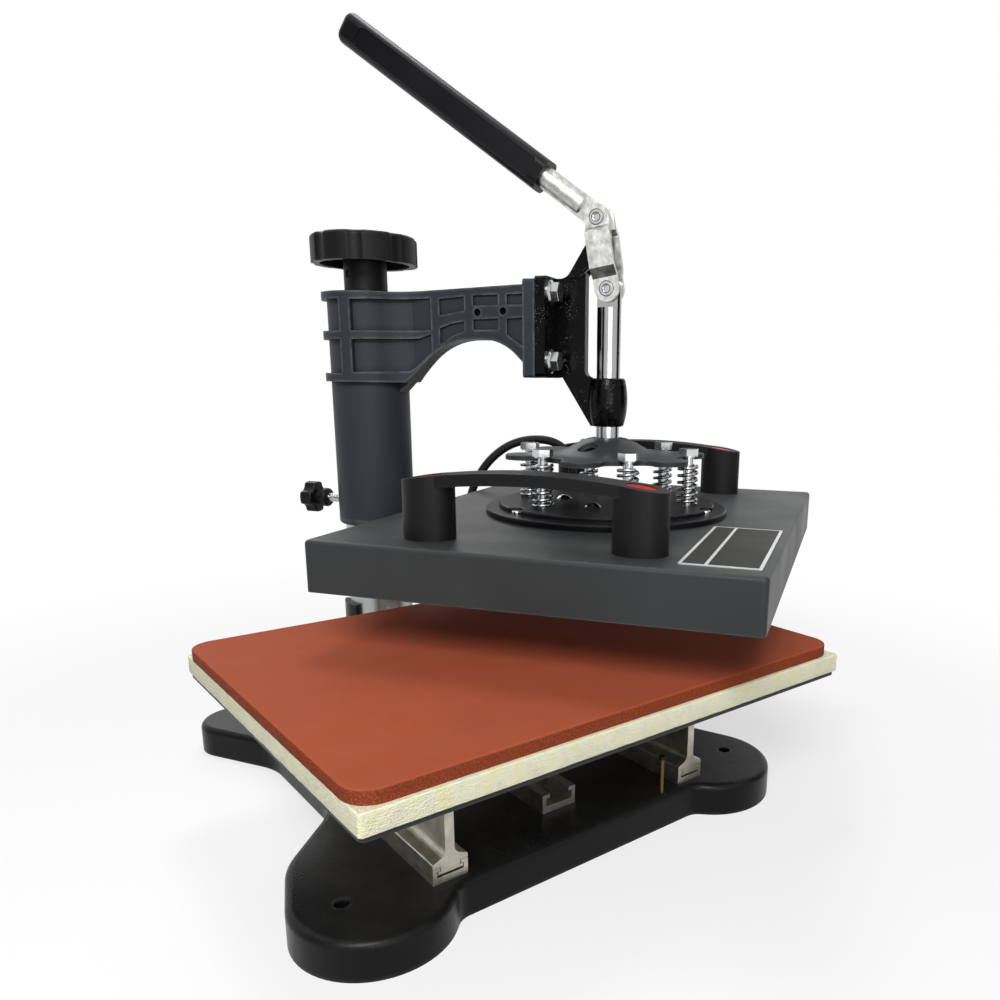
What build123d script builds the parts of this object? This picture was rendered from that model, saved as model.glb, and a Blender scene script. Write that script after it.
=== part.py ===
from build123d import *
import math
import os

# Swing-away sublimation heat press: a toggle head on a swinging arm presses a sprung, heated platen
# onto a padded table that slides out towards the user.
# Units are millimetres. The origin is the middle of the four bench bolt holes, on the underside of the
# base. +X is the user's right, +Y the back and +Z up.
# Pieces of the swinging side are drawn in the arm's own frame and then turned about the column. There
# s is the distance from the column axis along the arm, w the distance towards the arm's left side, and
# z the height.

# Fits
RUN_FIT = 0.05
SEAT_GAP = 0.2
PASS_GAP = 0.3
SCREW_FIT = 0.02

# Base casting
BASE_T = 25.0
BASE_TOP_T = 7.0
BASE_WALL = 6.0
BASE_WAIST = 121.5
BASE_FRONT = -185.5
BASE_BACK = 182.0
BASE_EDGE_R = 5.0
FRONT_FOOT = (146.0, -157.0)
FRONT_FOOT_R = 51.0
FRONT_FOOT_FLARE = 20.0
BACK_FOOT = (128.0, 160.0)
BACK_FOOT_R = 30.0
FLANK_Y = -41.0
FLANK_ANGLE = 45.0
BACK_FLANK_Y = 86.0
BENCH_HOLE_R = 4.75
BENCH_FRONT = (167.0, -159.0)
BENCH_BACK = (126.0, 159.0)
BENCH_BOSS_R = 12.0
RIB_T = 5.0

# Column: socket, post and the screw that lifts the arm
COLUMN_Y = 125.0
SOCKET_R = 33.0
SOCKET_TOP = 108.0
LUG_TOP = 123.0
LUG_FROM = 140.0
LUG_TO = 200.0
SOCKET_FLANGE_R = 52.0
SOCKET_FLANGE_T = 10.0
SOCKET_BOLT_RING = 43.0
POST_R = 28.0
POST_TOP = 372.0
POST_BORE_R = 14.0
KEYWAY_DIRECTION = -115.0
KEYWAY_W = 7.5
KEYWAY_DEPTH = 4.0
KEYWAY_BOTTOM = 60.0
LIFT_SCREW_R = 10.0
NUT_R = 20.0
NUT_FLANGE_R = 26.0
NUT_FLANGE_T = 3.0
NUT_DEPTH = 40.0

# Slide channels on the base, and the T-shaped rails under the table: x, outer width, height, wall,
# floor, lip width, lip thickness, front end, back end
SIDE_CHANNEL_X = 105.0
SIDE_CHANNEL = {"w": 24.5, "h": 11.0, "wall": 3.0, "floor": 4.6, "lip": 5.0, "lip_t": 2.5}
MID_CHANNEL = {"w": 29.0, "h": 14.0, "wall": 3.0, "floor": 5.0, "lip": 6.0, "lip_t": 2.8}
SIDE_CHANNEL_FRONT = -178.0
SIDE_CHANNEL_BACK = 70.0
MID_CHANNEL_FRONT = -150.0
MID_CHANNEL_BACK = 72.0
MID_RAIL_FRONT = -90.0
RAIL_NECK_GAP = 0.5
RAIL_FOOT_T = 2.0
RAIL_FOOT_GAP = 0.5
RAIL_WEB_T = 6.4
RAIL_SHOULDER_T = 3.0
RAIL_FLARE_R = 6.0
RAIL_FLANGE_W = 30.0
RAIL_FLANGE_T = 4.0
RAIL_BACK = 30.0
CHANNEL_SCREW_R = 2.0
CHANNEL_SCREW_HEAD_R = 4.2
CHANNEL_SCREW_HEAD_T = 1.2

# Brass stud on the front edge of the base
STUD_X = 74.0
STUD_Y = -179.0
STUD_R = 1.8
STUD_TOP = 54.0
STUD_CAP_R = 2.7
STUD_CAP_T = 2.6

# Table
TABLE_Y = -100.0
TABLE_PLATE_Z = 112.0
TABLE_PLATE_T = 3.0
FELT_W = 380.0
FELT_D = 290.0
FELT_T = 13.0
FELT_CORNER_R = 5.0
PLATE_INSET = 1.5
PAD_X = -1.5
PAD_W = 378.0
PAD_D = 284.0
PAD_T = 8.5
PAD_CORNER_R = 17.0
PAD_EDGE_R = 1.0
RAIL_SCREW_R = 2.5
RAIL_SCREW_HEAD_R = 4.8

# Swing arm
SWING_REST = 33.0
TUBE_R = 33.0
TUBE_BOTTOM = 196.0
TUBE_TOP = 393.0
TUBE_CAP_T = 8.0
TUBE_EDGE_R = 3.0
BAND_OUT = 4.5
BAND_Z = (320.0, 327.0, 354.6, 361.4, 386.8)
SLAB_HALF = 9.0
SLAB_POCKET = 3.0
SLAB_BLEND_R = 40.0
GUSSET_HALF = 7.0
ARM_END = 157.0
ARM_END_TOP = 398.5
ARCH_TOP = 355.4
ARCH_BACK = (78.4, 44.0, 61.0)
ARCH_FRONT = (129.9, 45.0, 42.0)
FLANGE_T = 10.0
FLANGE_HALF = 32.0
FLANGE_Z = (325.5, 400.0)
RING_Z = (201.6, 209.4)
RING_T = 2.0
CLIP_T = 1.4
CLIP_BITE = 1.2
SIDE_HOLES = ((108.0, 376.8), (130.8, 377.7))
SIDE_HOLE_R = 3.0
SIDE_HOLE_DEPTH = 7.0

# Lift screw, hand wheel and lock knob
JOURNAL_R = 12.0
COLLAR_R = 17.0
COLLAR_T = 3.4
BEARING_R = 20.0
BEARING_T = 4.2
WASHER_T = 3.0
STEM_R = 18.0
STEM_Z = (396.0, 416.5)
WHEEL_TOP = 439.0
WHEEL_R = 44.0
WHEEL_LOBES = 8
WHEEL_RIM_T = 6.0
WHEEL_WALL = 5.0
WHEEL_GROOVE_R = 12.0
WHEEL_GROOVE_DEPTH = 2.0
LOCK_Z = 215.0
LOCK_STUD_R = 3.7
LOCK_BOSS_R = (5.5, 13.0)
LOCK_BOSS_S = -36.5
LOCK_COLLAR_S = (-49.5, -56.0)
LOCK_COLLAR_R = 8.5
LOCK_NECK_R = 6.5
LOCK_HEAD_S = -60.5
LOCK_END_S = -72.5
LOCK_HEAD_R = 14.0
LOCK_LOBES = 4
LOCK_PAD_T = 2.4

# Head bracket
BRACKET_FLANGE_T = 8.5
BRACKET_Z = (326.0, 402.0)
BRACKET_WEB_HALF = 4.5
BRACKET_WEB_FRONT = 199.5
EAR_IN = 5.3
EAR_OUT = 8.3
EAR_R = 7.2
BOSS_Z = (288.0, 326.0)
BOSS_R_MAX = 15.8
BOSS_R_TOP = 13.4
BOSS_R_BOTTOM = 12.8
FLANGE_BOLT_W = 20.0
FLANGE_BOLT_Z = (338.4, 390.3)
FLANGE_BOLT_R = 5.0

# Toggle, in the arm's side view: A is the lever's link pin, P the plunger's pin and B the lever's fixed
# pivot. B lies where the links and the crank come into line just as the platen reaches the pad.
PLUNGER_S = 218.0
PIN_A = (209.0, 445.7)
LINK_LENGTH = 52.8
STROKE = 43.7
PIN_R = 5.0
PIN_CUP_R = 3.1
PIN_CUP_DEPTH = 2.5
PIN_PROUD = 0.8
LINK_T = 4.0
LINK_IN = 5.3
LINK_JOGGLE = 5.2
LINK_R = 9.8
LINK_BEND_A = (8.8, 12.6)
LINK_BEND_P = (9.6, 17.0)
LEVER_HALF = 5.0
LEVER_HUB_R = 9.0
CRANK_HUB_R = 8.0
LEVER_RISE = 35.2
LEVER_BAR_R = 8.5
LEVER_FLAT = 22.0
LEVER_BAR_END = 120.0
GRIP_FROM = 55.0
GRIP_TO = 262.0
GRIP_CORNER_R = 7.5
GRIP_PANEL = (62.0, 244.0, 15.0, 1.0)
ROD_R = 9.5
ROD_SHOULDER_Z = 380.0
TANG_HALF = 5.0
ROD_SHANK_R = 7.0
ROD_NUT_AF = 20.0
ROD_NUT_T = 8.0

# Sprung spider over the platen
BOLT_RING = 68.0
BOLT_COUNT = 6
BOLT_R = 4.0
BOLT_HEAD_AF = 14.0
BOLT_HEAD_T = 6.2
SPIDER_Z = 262.0
SPIDER_T = 4.0
SPIDER_RIM_R = 62.0
SPIDER_LOBE_R = 15.5
DOME_TOP = 279.0
DOME_FOOT_R = 49.0
DOME_TOP_R = 12.0
DOME_WALL = 3.5
SPRING_WIRE = 2.6
SPRING_R = 7.3
SPRING_END_PITCH = 3.15
SPRING_TURNS = 6.75

# Platen
PLATEN_L = 310.0
PLATEN_W = 390.0
PLATEN_Z = 181.0
PLATEN_TOP = 218.0
COVER_T = 2.0
COVER_LIFT = 1.0
COVER_CORNER_R = 4.0
COVER_EDGE_R = 3.0
HEATER_GAP = 1.0
HEATER_T = 14.0
ELEMENT_R = 3.5
DISC_R = 99.5
DISC_T = 5.0
STAMP_R = 89.0
STAMP_T = 4.0
NOTCH_ANGLES = (7.0, 127.0, 247.0)
NOTCH_RING = 88.0
NOTCH_R = 7.0
DISC_SCREW_R = 3.0
DOME_SCREW_RING = 37.0
DOME_SCREW_R = 6.4
DOME_SCREW_H = 3.2
DOME_SHANK_R = 2.5

# Handles
HANDLE_W = 157.0
HANDLE_S = 213.0
HANDLE_POST_S = 74.5
POST_HALF_S = 18.5
POST_HALF_W = 15.5
HANDLE_CROWN = 266.0
HANDLE_SHOULDER = 258.0
HANDLE_BAR_T = 8.0
HANDLE_BAR_HALF = 12.5
PLUG_R_S = 10.4
PLUG_R_W = 8.4
PLUG_T = 3.0
PLUG_SINK = 0.6
HANDLE_SCREW_R = 4.0
HANDLE_SCREW_HEAD_R = 6.5
HANDLE_SCREW_HEAD_T = 8.0
HANDLE_SCREW_HEAD_Z = 236.0

# Plate on the cover, and the heater lead
LABEL_S = (98.0, 149.0)
LABEL_W = (42.0, 178.0)
LABEL_T = 0.6
GLAND_S = -66.0
GLAND_W = -108.0
GLAND_AF = 20.0
GLAND_NUT_T = 6.0
GLAND_NOSE_T = 3.0
CORD_D = 8.0
# The lead's route, from the gland over the platen's back edge and down, as s from the plunger axis, w, z
CORD_ROUTE = [
    (GLAND_S, GLAND_W, 227.0),
    (-66.0, -108.0, 251.0),
    (-86.0, -105.0, 268.0),
    (-122.0, -99.0, 266.0),
    (-150.0, -94.0, 246.0),
    (-168.0, -91.0, 215.0),
    (-174.0, -90.0, 178.0),
    (-176.0, -89.0, 150.0),
    (-176.0, -89.0, 122.0),
]
PLUG_LENGTH = 46.0
PLUG_R = 9.5

# What follows from the sizes above
PIN_P = (PLUNGER_S, PIN_A[1] - math.sqrt(LINK_LENGTH**2 - (PLUNGER_S - PIN_A[0]) ** 2))
CLOSED_P = PIN_P[1] - STROKE
PIN_B = (
    PIN_A[0],
    ((PIN_A[1] + LINK_LENGTH) ** 2 - (PLUNGER_S - PIN_A[0]) ** 2 - CLOSED_P**2)
    / (2 * (PIN_A[1] + LINK_LENGTH - CLOSED_P)),
)
FELT_Z = TABLE_PLATE_Z + TABLE_PLATE_T
PAD_Z = FELT_Z + FELT_T
FLANGE_FRONT = ARM_END + FLANGE_T
BRACKET_FRONT = FLANGE_FRONT + BRACKET_FLANGE_T
DISC_Z = PLATEN_TOP
STAMP_Z = DISC_Z + DISC_T
SPRING_Z = STAMP_Z + STAMP_T
HEATER_TOP = PLATEN_Z + HEATER_T
COVER_ROOF = PLATEN_TOP - COVER_T
TUBE_ROOF = TUBE_TOP - TUBE_CAP_T
ARM_BORE_R = POST_R + RUN_FIT
NUT_TOP = POST_TOP + NUT_FLANGE_T
COLLAR_TOP = TUBE_ROOF - BEARING_T

ARM_SIDE = Plane(origin=(0, 0, 0), x_dir=(0, -1, 0), z_dir=(-1, 0, 0))
ARM_PLACE = Pos(0, COLUMN_Y, 0) * Rot(0, 0, SWING_REST)
UP = (Align.CENTER, Align.CENTER, Align.MIN)


def turned(angle):
    """Unit vector at an angle in degrees."""
    return (math.cos(math.radians(angle)), math.sin(math.radians(angle)))


def disc(radius, low, high, x=0.0, y=0.0):
    """Upright cylinder between two heights."""
    return Pos(x, y, low) * Cylinder(radius, high - low, align=UP)


def block(x0, x1, y0, y1, z0, z1):
    """Box between two corners."""
    return Pos((x0 + x1) / 2, (y0 + y1) / 2, (z0 + z1) / 2) * Box(x1 - x0, y1 - y0, z1 - z0)


def arm_block(s0, s1, w0, w1, z0, z1):
    """Box given in the arm's s, w and z."""
    return block(-w1, -w0, -s1, -s0, z0, z1)


def arm_disc(s, w, radius, low, high):
    """Upright cylinder given in the arm's s and w."""
    return disc(radius, low, high, -w, -s)


def cross_rod(s, z, radius, w0, w1):
    """Cylinder that runs across the arm."""
    return Pos(-(w0 + w1) / 2, -s, z) * Rot(0, 90, 0) * Cylinder(radius, w1 - w0)


def long_rod(w, z, radius, s0, s1):
    """Cylinder that runs along the arm."""
    return Pos(-w, -(s0 + s1) / 2, z) * Rot(90, 0, 0) * Cylinder(radius, s1 - s0)


def side_plate(face, w0, w1):
    """Thickens a face drawn in the arm's side view between two places across the arm."""
    return Pos(-w0, 0, 0) * extrude(ARM_SIDE * face, amount=w1 - w0)


def polygon(points):
    """Flat face inside a closed polyline."""
    return make_face(Polyline(*points, close=True))


def round_at(sketch, places, radius):
    """Rounds the corners of a sketch that lie nearest to the places given."""
    chosen = []
    for x, y in places:
        chosen.append(min(sketch.vertices(), key=lambda v: (v.X - x) ** 2 + (v.Y - y) ** 2))
    return fillet(chosen, radius)


def both_ways(points):
    """The points and their mirror images across the YZ plane."""
    return list(points) + [(-x, y) for x, y in points]


def meet(p, p_angle, q, q_angle):
    """Point where two lines cross, each given by a point and an angle."""
    a = turned(p_angle)
    b = turned(q_angle)
    along = ((q[0] - p[0]) * b[1] - (q[1] - p[1]) * b[0]) / (a[0] * b[1] - a[1] * b[0])
    return (p[0] + along * a[0], p[1] + along * a[1])


def ring_places(radius, angles):
    """Places on a circle about the plunger axis, as s and w."""
    places = []
    for angle in angles:
        x, y = turned(angle)
        places.append((PLUNGER_S + radius * x, radius * y))
    return places


def bolt_places():
    """The six places of the sprung bolts, as s and w."""
    return ring_places(BOLT_RING, [i * 360 / BOLT_COUNT for i in range(BOLT_COUNT)])


def group(shapes):
    """Separate solids kept together as one piece of the parts list."""
    return Compound([solid for shape in shapes for solid in shape.solids()])


def hexagon(across_flats, low, high):
    """Upright hexagonal prism."""
    return Pos(0, 0, low) * extrude(RegularPolygon(across_flats / math.sqrt(3), 6), high - low)


def base_outline():
    """Plan of the base: two big round feet in front, two small ones behind, and a waist."""
    foot_x, foot_y = FRONT_FOOT
    back_x, back_y = BACK_FOOT
    front_x = foot_x - math.sqrt(FRONT_FOOT_R**2 - (BASE_FRONT - foot_y) ** 2)
    rear_x = back_x - math.sqrt(BACK_FOOT_R**2 - (BASE_BACK - back_y) ** 2)
    flare = turned(FRONT_FOOT_FLARE)
    leave = (foot_x + FRONT_FOOT_R * flare[0], foot_y + FRONT_FOOT_R * flare[1])
    knee = meet(leave, 90 + FRONT_FOOT_FLARE, (BASE_WAIST, FLANK_Y), 180 - FLANK_ANGLE)
    away = (back_x - BASE_WAIST, back_y - BACK_FLANK_Y)
    heading = math.degrees(math.atan2(away[1], away[0]) - math.asin(BACK_FOOT_R / math.hypot(*away)))
    touch = turned(heading - 90)
    arrive = (back_x + BACK_FOOT_R * touch[0], back_y + BACK_FOOT_R * touch[1])
    right = [
        (front_x, BASE_FRONT),
        leave,
        knee,
        (BASE_WAIST, FLANK_Y),
        (BASE_WAIST, BACK_FLANK_Y),
        arrive,
        (rear_x, BASE_BACK),
    ]
    left = [(-x, y) for x, y in reversed(right)]
    plan = polygon(right + left)
    for side in (1, -1):
        plan += Pos(side * foot_x, foot_y) * Circle(FRONT_FOOT_R)
        plan += Pos(side * back_x, back_y) * Circle(BACK_FOOT_R)
    plan = round_at(plan, both_ways([(front_x, BASE_FRONT)]), 14)
    plan = round_at(plan, both_ways([(rear_x, BASE_BACK)]), 10)
    plan = round_at(plan, both_ways([knee]), 55)
    plan = round_at(plan, both_ways([(BASE_WAIST, FLANK_Y)]), 66)
    plan = round_at(plan, both_ways([(BASE_WAIST, BACK_FLANK_Y)]), 55)
    return plan


def bench_places():
    """The four bench bolt holes."""
    return both_ways([BENCH_FRONT, BENCH_BACK])


def socket_bolt_places():
    """The four bolts that hold the column socket."""
    places = []
    for i in range(4):
        x, y = turned(45 + 90 * i)
        places.append((SOCKET_BOLT_RING * x, COLUMN_Y + SOCKET_BOLT_RING * y))
    return places


def channels():
    """Each channel's name, x, section sizes, front end and back end."""
    return (
        ("left", -SIDE_CHANNEL_X, SIDE_CHANNEL, SIDE_CHANNEL_FRONT, SIDE_CHANNEL_BACK),
        ("centre", 0.0, MID_CHANNEL, MID_CHANNEL_FRONT, MID_CHANNEL_BACK),
        ("right", SIDE_CHANNEL_X, SIDE_CHANNEL, SIDE_CHANNEL_FRONT, SIDE_CHANNEL_BACK),
    )


def channel_screw_places():
    """Three screws along each channel, with the height of the floor that they sit on."""
    places = []
    for _, x, size, front, back in channels():
        for share in (0.08, 0.5, 0.92):
            places.append((x, front + share * (back - front), BASE_T + size["floor"]))
    return places


def base_casting():
    """Open-bottomed iron base with bench bolt bosses and ribs underneath."""
    plan = base_outline()
    body = extrude(plan, BASE_T)
    body = fillet(body.edges().group_by(Axis.Z)[-1], BASE_EDGE_R)
    hollow = extrude(offset(plan, amount=-BASE_WALL), BASE_T - BASE_TOP_T)
    kept = disc(SOCKET_FLANGE_R, 0, BASE_T - BASE_TOP_T, 0, COLUMN_Y)
    for x, y in bench_places():
        kept += disc(BENCH_BOSS_R, 0, BASE_T - BASE_TOP_T, x, y)
    for x in (-60.0, 0.0, 60.0):
        kept += block(x - RIB_T / 2, x + RIB_T / 2, BASE_FRONT, BASE_BACK, 0, BASE_T - BASE_TOP_T)
    for y in (-95.0, 0.0):
        kept += block(-200, 200, y - RIB_T / 2, y + RIB_T / 2, 0, BASE_T - BASE_TOP_T)
    body -= hollow - kept
    for x, y in bench_places():
        body -= disc(BENCH_HOLE_R, -1, BASE_T + 1, x, y)
    for x, y in socket_bolt_places():
        body -= disc(4 + SCREW_FIT, 5, BASE_T + 1, x, y)
    for x, y, _ in channel_screw_places():
        body -= disc(CHANNEL_SCREW_R + SCREW_FIT, 10, BASE_T + 1, x, y)
    body -= disc(STUD_R + SCREW_FIT, BASE_T - 8, BASE_T + 1, STUD_X, STUD_Y)
    return body


def column_socket():
    """Flanged socket that stands on the base and holds the post."""
    low = BASE_T + SOCKET_FLANGE_T
    body = disc(SOCKET_FLANGE_R, BASE_T, low) + disc(SOCKET_R, BASE_T, SOCKET_TOP)
    joint = body.edges().filter_by(GeomType.CIRCLE).filter_by(lambda e: abs(e.radius - SOCKET_R) < 0.1)
    body = fillet(joint.sort_by(Axis.Z)[0], 7)
    lug = disc(SOCKET_R, SOCKET_TOP, LUG_TOP)
    reach = 2 * SOCKET_R
    first = turned(LUG_FROM)
    middle = turned((LUG_FROM + LUG_TO) / 2)
    last = turned(LUG_TO)
    sector = polygon([(0, 0)] + [(reach * x, reach * y) for x, y in (first, middle, last)])
    body += lug & (Pos(0, 0, SOCKET_TOP) * extrude(sector, LUG_TOP - SOCKET_TOP))
    body -= disc(POST_R + RUN_FIT, BASE_T - 1, LUG_TOP + 1)
    body = Pos(0, COLUMN_Y, 0) * body
    for x, y in socket_bolt_places():
        body -= disc(4 + RUN_FIT, BASE_T - 1, low + 1, x, y)
        body -= disc(9.5, low, low + 8, x, y)
    return body


def socket_bolts():
    """Hexagon bolts through the socket's flange into the base."""
    low = BASE_T + SOCKET_FLANGE_T
    bolt = disc(4, 8, low) + disc(7.6, low, low + 1) + hexagon(13, low + 1, low + 6.3)
    return group([Pos(x, y, 0) * bolt for x, y in socket_bolt_places()])


def column_post():
    """Bright post with a keyway along its side, bored from the top for the lift screw."""
    body = disc(POST_R, BASE_T, POST_TOP)
    body = chamfer(body.edges().group_by(Axis.Z)[-1], 1.5)
    slot = block(-KEYWAY_W / 2, KEYWAY_W / 2, POST_R - KEYWAY_DEPTH, POST_R + 5, KEYWAY_BOTTOM, POST_TOP + 1)
    body -= Rot(0, 0, KEYWAY_DIRECTION - 90) * slot
    body -= disc(POST_BORE_R, BASE_T + 60, POST_TOP + 1)
    body -= disc(NUT_R + RUN_FIT, POST_TOP - NUT_DEPTH, POST_TOP + 1)
    return Pos(0, COLUMN_Y, 0) * body


def lift_nut():
    """Flanged bronze nut in the top of the post."""
    body = disc(NUT_R, POST_TOP - NUT_DEPTH, POST_TOP) + disc(NUT_FLANGE_R, POST_TOP, NUT_TOP)
    body -= disc(LIFT_SCREW_R + RUN_FIT, POST_TOP - NUT_DEPTH - 1, NUT_TOP + 1)
    return Pos(0, COLUMN_Y, 0) * body


def channel(x, size, front, back):
    """C-section track with two lips that keep the rail from lifting."""
    half = size["w"] / 2
    inner = half - size["wall"]
    mouth = half - size["lip"]
    top = BASE_T + size["h"]
    section = polygon([
        (-half, BASE_T), (half, BASE_T), (half, top), (mouth, top), (mouth, top - size["lip_t"]),
        (inner, top - size["lip_t"]), (inner, BASE_T + size["floor"]), (-inner, BASE_T + size["floor"]),
        (-inner, top - size["lip_t"]), (-mouth, top - size["lip_t"]), (-mouth, top), (-half, top),
    ])
    body = Pos(x, back, 0) * extrude(Plane.XZ * section, amount=back - front)
    for place_x, place_y, _ in channel_screw_places():
        if place_x == x:
            body -= disc(CHANNEL_SCREW_R + RUN_FIT, BASE_T - 1, BASE_T + size["floor"] + 1, x, place_y)
    return body


def channel_screws():
    """Pan-head screws that hold the channels down."""
    screws = []
    for x, y, seat in channel_screw_places():
        head = disc(CHANNEL_SCREW_HEAD_R, seat, seat + CHANNEL_SCREW_HEAD_T, x, y)
        head = fillet(head.edges().group_by(Axis.Z)[-1], 0.7)
        screws.append(head + disc(CHANNEL_SCREW_R, BASE_T - 12, seat, x, y))
    return group(screws)


def table_rail(x, size, front, back):
    """Extruded rail: foot under the channel's lips, neck, flared shoulder, web and top flange."""
    half = size["w"] / 2
    neck = half - size["lip"] - RAIL_NECK_GAP
    foot = half - size["wall"] - RAIL_FOOT_GAP
    lip = BASE_T + size["h"]
    foot_top = lip - size["lip_t"] - PASS_GAP
    seat = lip + SEAT_GAP
    shoulder = seat + RAIL_SHOULDER_T
    web = RAIL_WEB_T / 2
    flange = TABLE_PLATE_Z - RAIL_FLANGE_T
    right = [
        (foot, foot_top - RAIL_FOOT_T), (foot, foot_top), (neck, foot_top), (neck, seat), (half, seat),
        (half, shoulder), (web, shoulder + RAIL_FLARE_R * 0.6), (web, flange),
        (RAIL_FLANGE_W / 2, flange), (RAIL_FLANGE_W / 2, TABLE_PLATE_Z),
    ]
    section = polygon(right + [(-a, b) for a, b in reversed(right)])
    section = round_at(section, both_ways([(web, shoulder + RAIL_FLARE_R * 0.6)]), RAIL_FLARE_R)
    section = round_at(section, both_ways([(half, shoulder)]), 1.4)
    body = Pos(x, back, 0) * extrude(Plane.XZ * section, amount=back - front)
    for screw_x, screw_y in rail_screw_places():
        if screw_x == x:
            body -= disc(RAIL_SCREW_R + SCREW_FIT, TABLE_PLATE_Z - 20, TABLE_PLATE_Z + 1, x, screw_y)
    return body


def rail_screw_places():
    """The screws into the rails through the table's steel plate."""
    front = TABLE_Y - FELT_D / 2
    places = []
    for _, x, _, _, _ in channels():
        shares = (0.28, 0.45, 0.65, 0.85) if x else (0.65, 0.75, 0.85)
        for share in shares:
            places.append((x, front + share * FELT_D))
    return places


def table_plate():
    """Steel plate under the felt, countersunk for the rail screws."""
    plan = Pos(0, TABLE_Y) * RectangleRounded(FELT_W - 2 * PLATE_INSET, FELT_D - 2 * PLATE_INSET, 4)
    body = Pos(0, 0, TABLE_PLATE_Z) * extrude(plan, TABLE_PLATE_T)
    for x, y in rail_screw_places():
        sink = Cone(RAIL_SCREW_R, RAIL_SCREW_HEAD_R, TABLE_PLATE_T, align=UP)
        body -= Pos(x, y, TABLE_PLATE_Z) * sink
        body -= disc(RAIL_SCREW_R + RUN_FIT, TABLE_PLATE_Z - 1, FELT_Z + 1, x, y)
    return body


def rail_screws():
    """Countersunk screws between the table's plate and its rails."""
    head = Pos(0, 0, TABLE_PLATE_Z + 0.4) * Cone(RAIL_SCREW_R, RAIL_SCREW_HEAD_R - 0.7, 2.4, align=UP)
    screw = head + disc(RAIL_SCREW_R, TABLE_PLATE_Z - 14, TABLE_PLATE_Z + 0.5)
    return group([Pos(x, y, 0) * screw for x, y in rail_screw_places()])


def felt_board():
    """Pale felt board on the steel plate."""
    plan = Pos(0, TABLE_Y) * RectangleRounded(FELT_W, FELT_D, FELT_CORNER_R)
    body = Pos(0, 0, FELT_Z) * extrude(plan, FELT_T)
    return fillet(body.edges().group_by(Axis.Z)[-1], 1.5)


def silicone_pad():
    """Red silicone sponge pad that lies on the felt."""
    plan = Pos(PAD_X, TABLE_Y) * RectangleRounded(PAD_W, PAD_D, PAD_CORNER_R)
    body = Pos(0, 0, PAD_Z) * extrude(plan, PAD_T)
    return fillet(body.edges().group_by(Axis.Z)[-1], PAD_EDGE_R)


def travel_stud():
    """Brass stud that stands on the base's front edge."""
    return disc(STUD_R, BASE_T - 7, STUD_TOP, STUD_X, STUD_Y)


def stud_cap():
    """Small black cap on the stud."""
    body = disc(STUD_CAP_R, STUD_TOP - STUD_CAP_T + 1, STUD_TOP + 1, STUD_X, STUD_Y)
    body = fillet(body.edges().group_by(Axis.Z)[-1], 0.8)
    return body - disc(STUD_R + SCREW_FIT, 0, STUD_TOP, STUD_X, STUD_Y)


def keyed_ring():
    """Bronze ring that is keyed to the post, so that it slides but doesn't turn."""
    inner = POST_R + RUN_FIT
    body = disc(inner + RING_T, RING_Z[0], RING_Z[1]) - disc(inner, RING_Z[0] - 1, RING_Z[1] + 1)
    half = KEYWAY_W / 2 - RUN_FIT
    key = block(-half, half, POST_R - KEYWAY_DEPTH + PASS_GAP, inner + RING_T / 2, *RING_Z)
    return Pos(0, COLUMN_Y, 0) * (body + Rot(0, 0, KEYWAY_DIRECTION - 90) * key)


def arm_web_face():
    """Side view of the arm's slab, with the arch under it."""
    back_s, back_angle, back_r = ARCH_BACK
    front_s, front_angle, front_r = ARCH_FRONT
    foot_s = TUBE_R - 3
    foot_z = ARCH_TOP - (back_s - foot_s) * math.tan(math.radians(back_angle))
    finish_z = ARCH_TOP - (ARM_END - front_s) * math.tan(math.radians(front_angle))
    face = polygon([
        (0, foot_z), (foot_s, foot_z), (back_s, ARCH_TOP), (front_s, ARCH_TOP), (ARM_END, finish_z),
        (ARM_END, ARM_END_TOP), (TUBE_R, TUBE_TOP), (0, TUBE_TOP),
    ])
    face = round_at(face, [(back_s, ARCH_TOP)], back_r)
    return round_at(face, [(front_s, ARCH_TOP)], front_r)


def arm_plan(tube_r, half):
    """Plan of the arm: the round of the column blended into the slab."""
    plan = Circle(tube_r) + Pos(ARM_END / 2, 0) * Rectangle(ARM_END, 2 * half)
    corner = math.sqrt(tube_r**2 - half**2)
    return round_at(plan, [(corner, half), (corner, -half)], SLAB_BLEND_R)


def arm_pockets():
    """Side views of the cast pockets between the arm's ribs."""
    low, low_top, mid, mid_top, high = BAND_Z
    behind = -2 * TUBE_R
    return [
        [(behind, low_top), (-4, low_top), (-4, mid), (behind, mid)],
        [(behind, mid_top), (-4, mid_top), (-4, high), (behind, high)],
        [(6.4, mid_top), (65.5, mid_top + 1.5), (65.5, high + 1.5), (6.4, high - 0.6)],
        [
            (6.4, low_top + 1), (46, low_top + 2.5), (51.5, 333.2), (60.2, 340.7), (65.5, 345),
            (65.5, 359.8), (54, 356.2), (6.4, mid),
        ],
        [(73.7, 374.7), (96.2, 378.2), (96.2, 389.5), (73.7, 387.5)],
        [(73.7, 351.6), (86, 358.8), (96.2, 362.4), (96.2, 370), (83.9, 367.9), (73.7, 364.4)],
        [(104.4, 382.3), (126.4, 382.3), (126.4, 390.5), (104.4, 390)],
        [(104.4, 363.2), (126.4, 363.2), (126.4, 372.1), (104.4, 371.3)],
        [(134.1, 382.6), (153, 382.6), (153, 390.9), (134.1, 390.5)],
        [(134.1, 359.3), (153, 346.7), (153, 372.7), (134.1, 371.9)],
    ]


def arm_shell(tube_r, half):
    """The arm's slab and the round of the column above its lowest band."""
    plan = Plane(origin=(0, 0, BAND_Z[0]), x_dir=(0, -1, 0), z_dir=(0, 0, 1)) * arm_plan(tube_r, half)
    solid = extrude(plan, ARM_END_TOP - BAND_Z[0])
    reach = 2 * TUBE_R
    back = arm_block(-reach, 0.5, -reach, reach, BAND_Z[0], TUBE_TOP)
    return solid & (side_plate(arm_web_face(), -reach, reach) + back)


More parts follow.
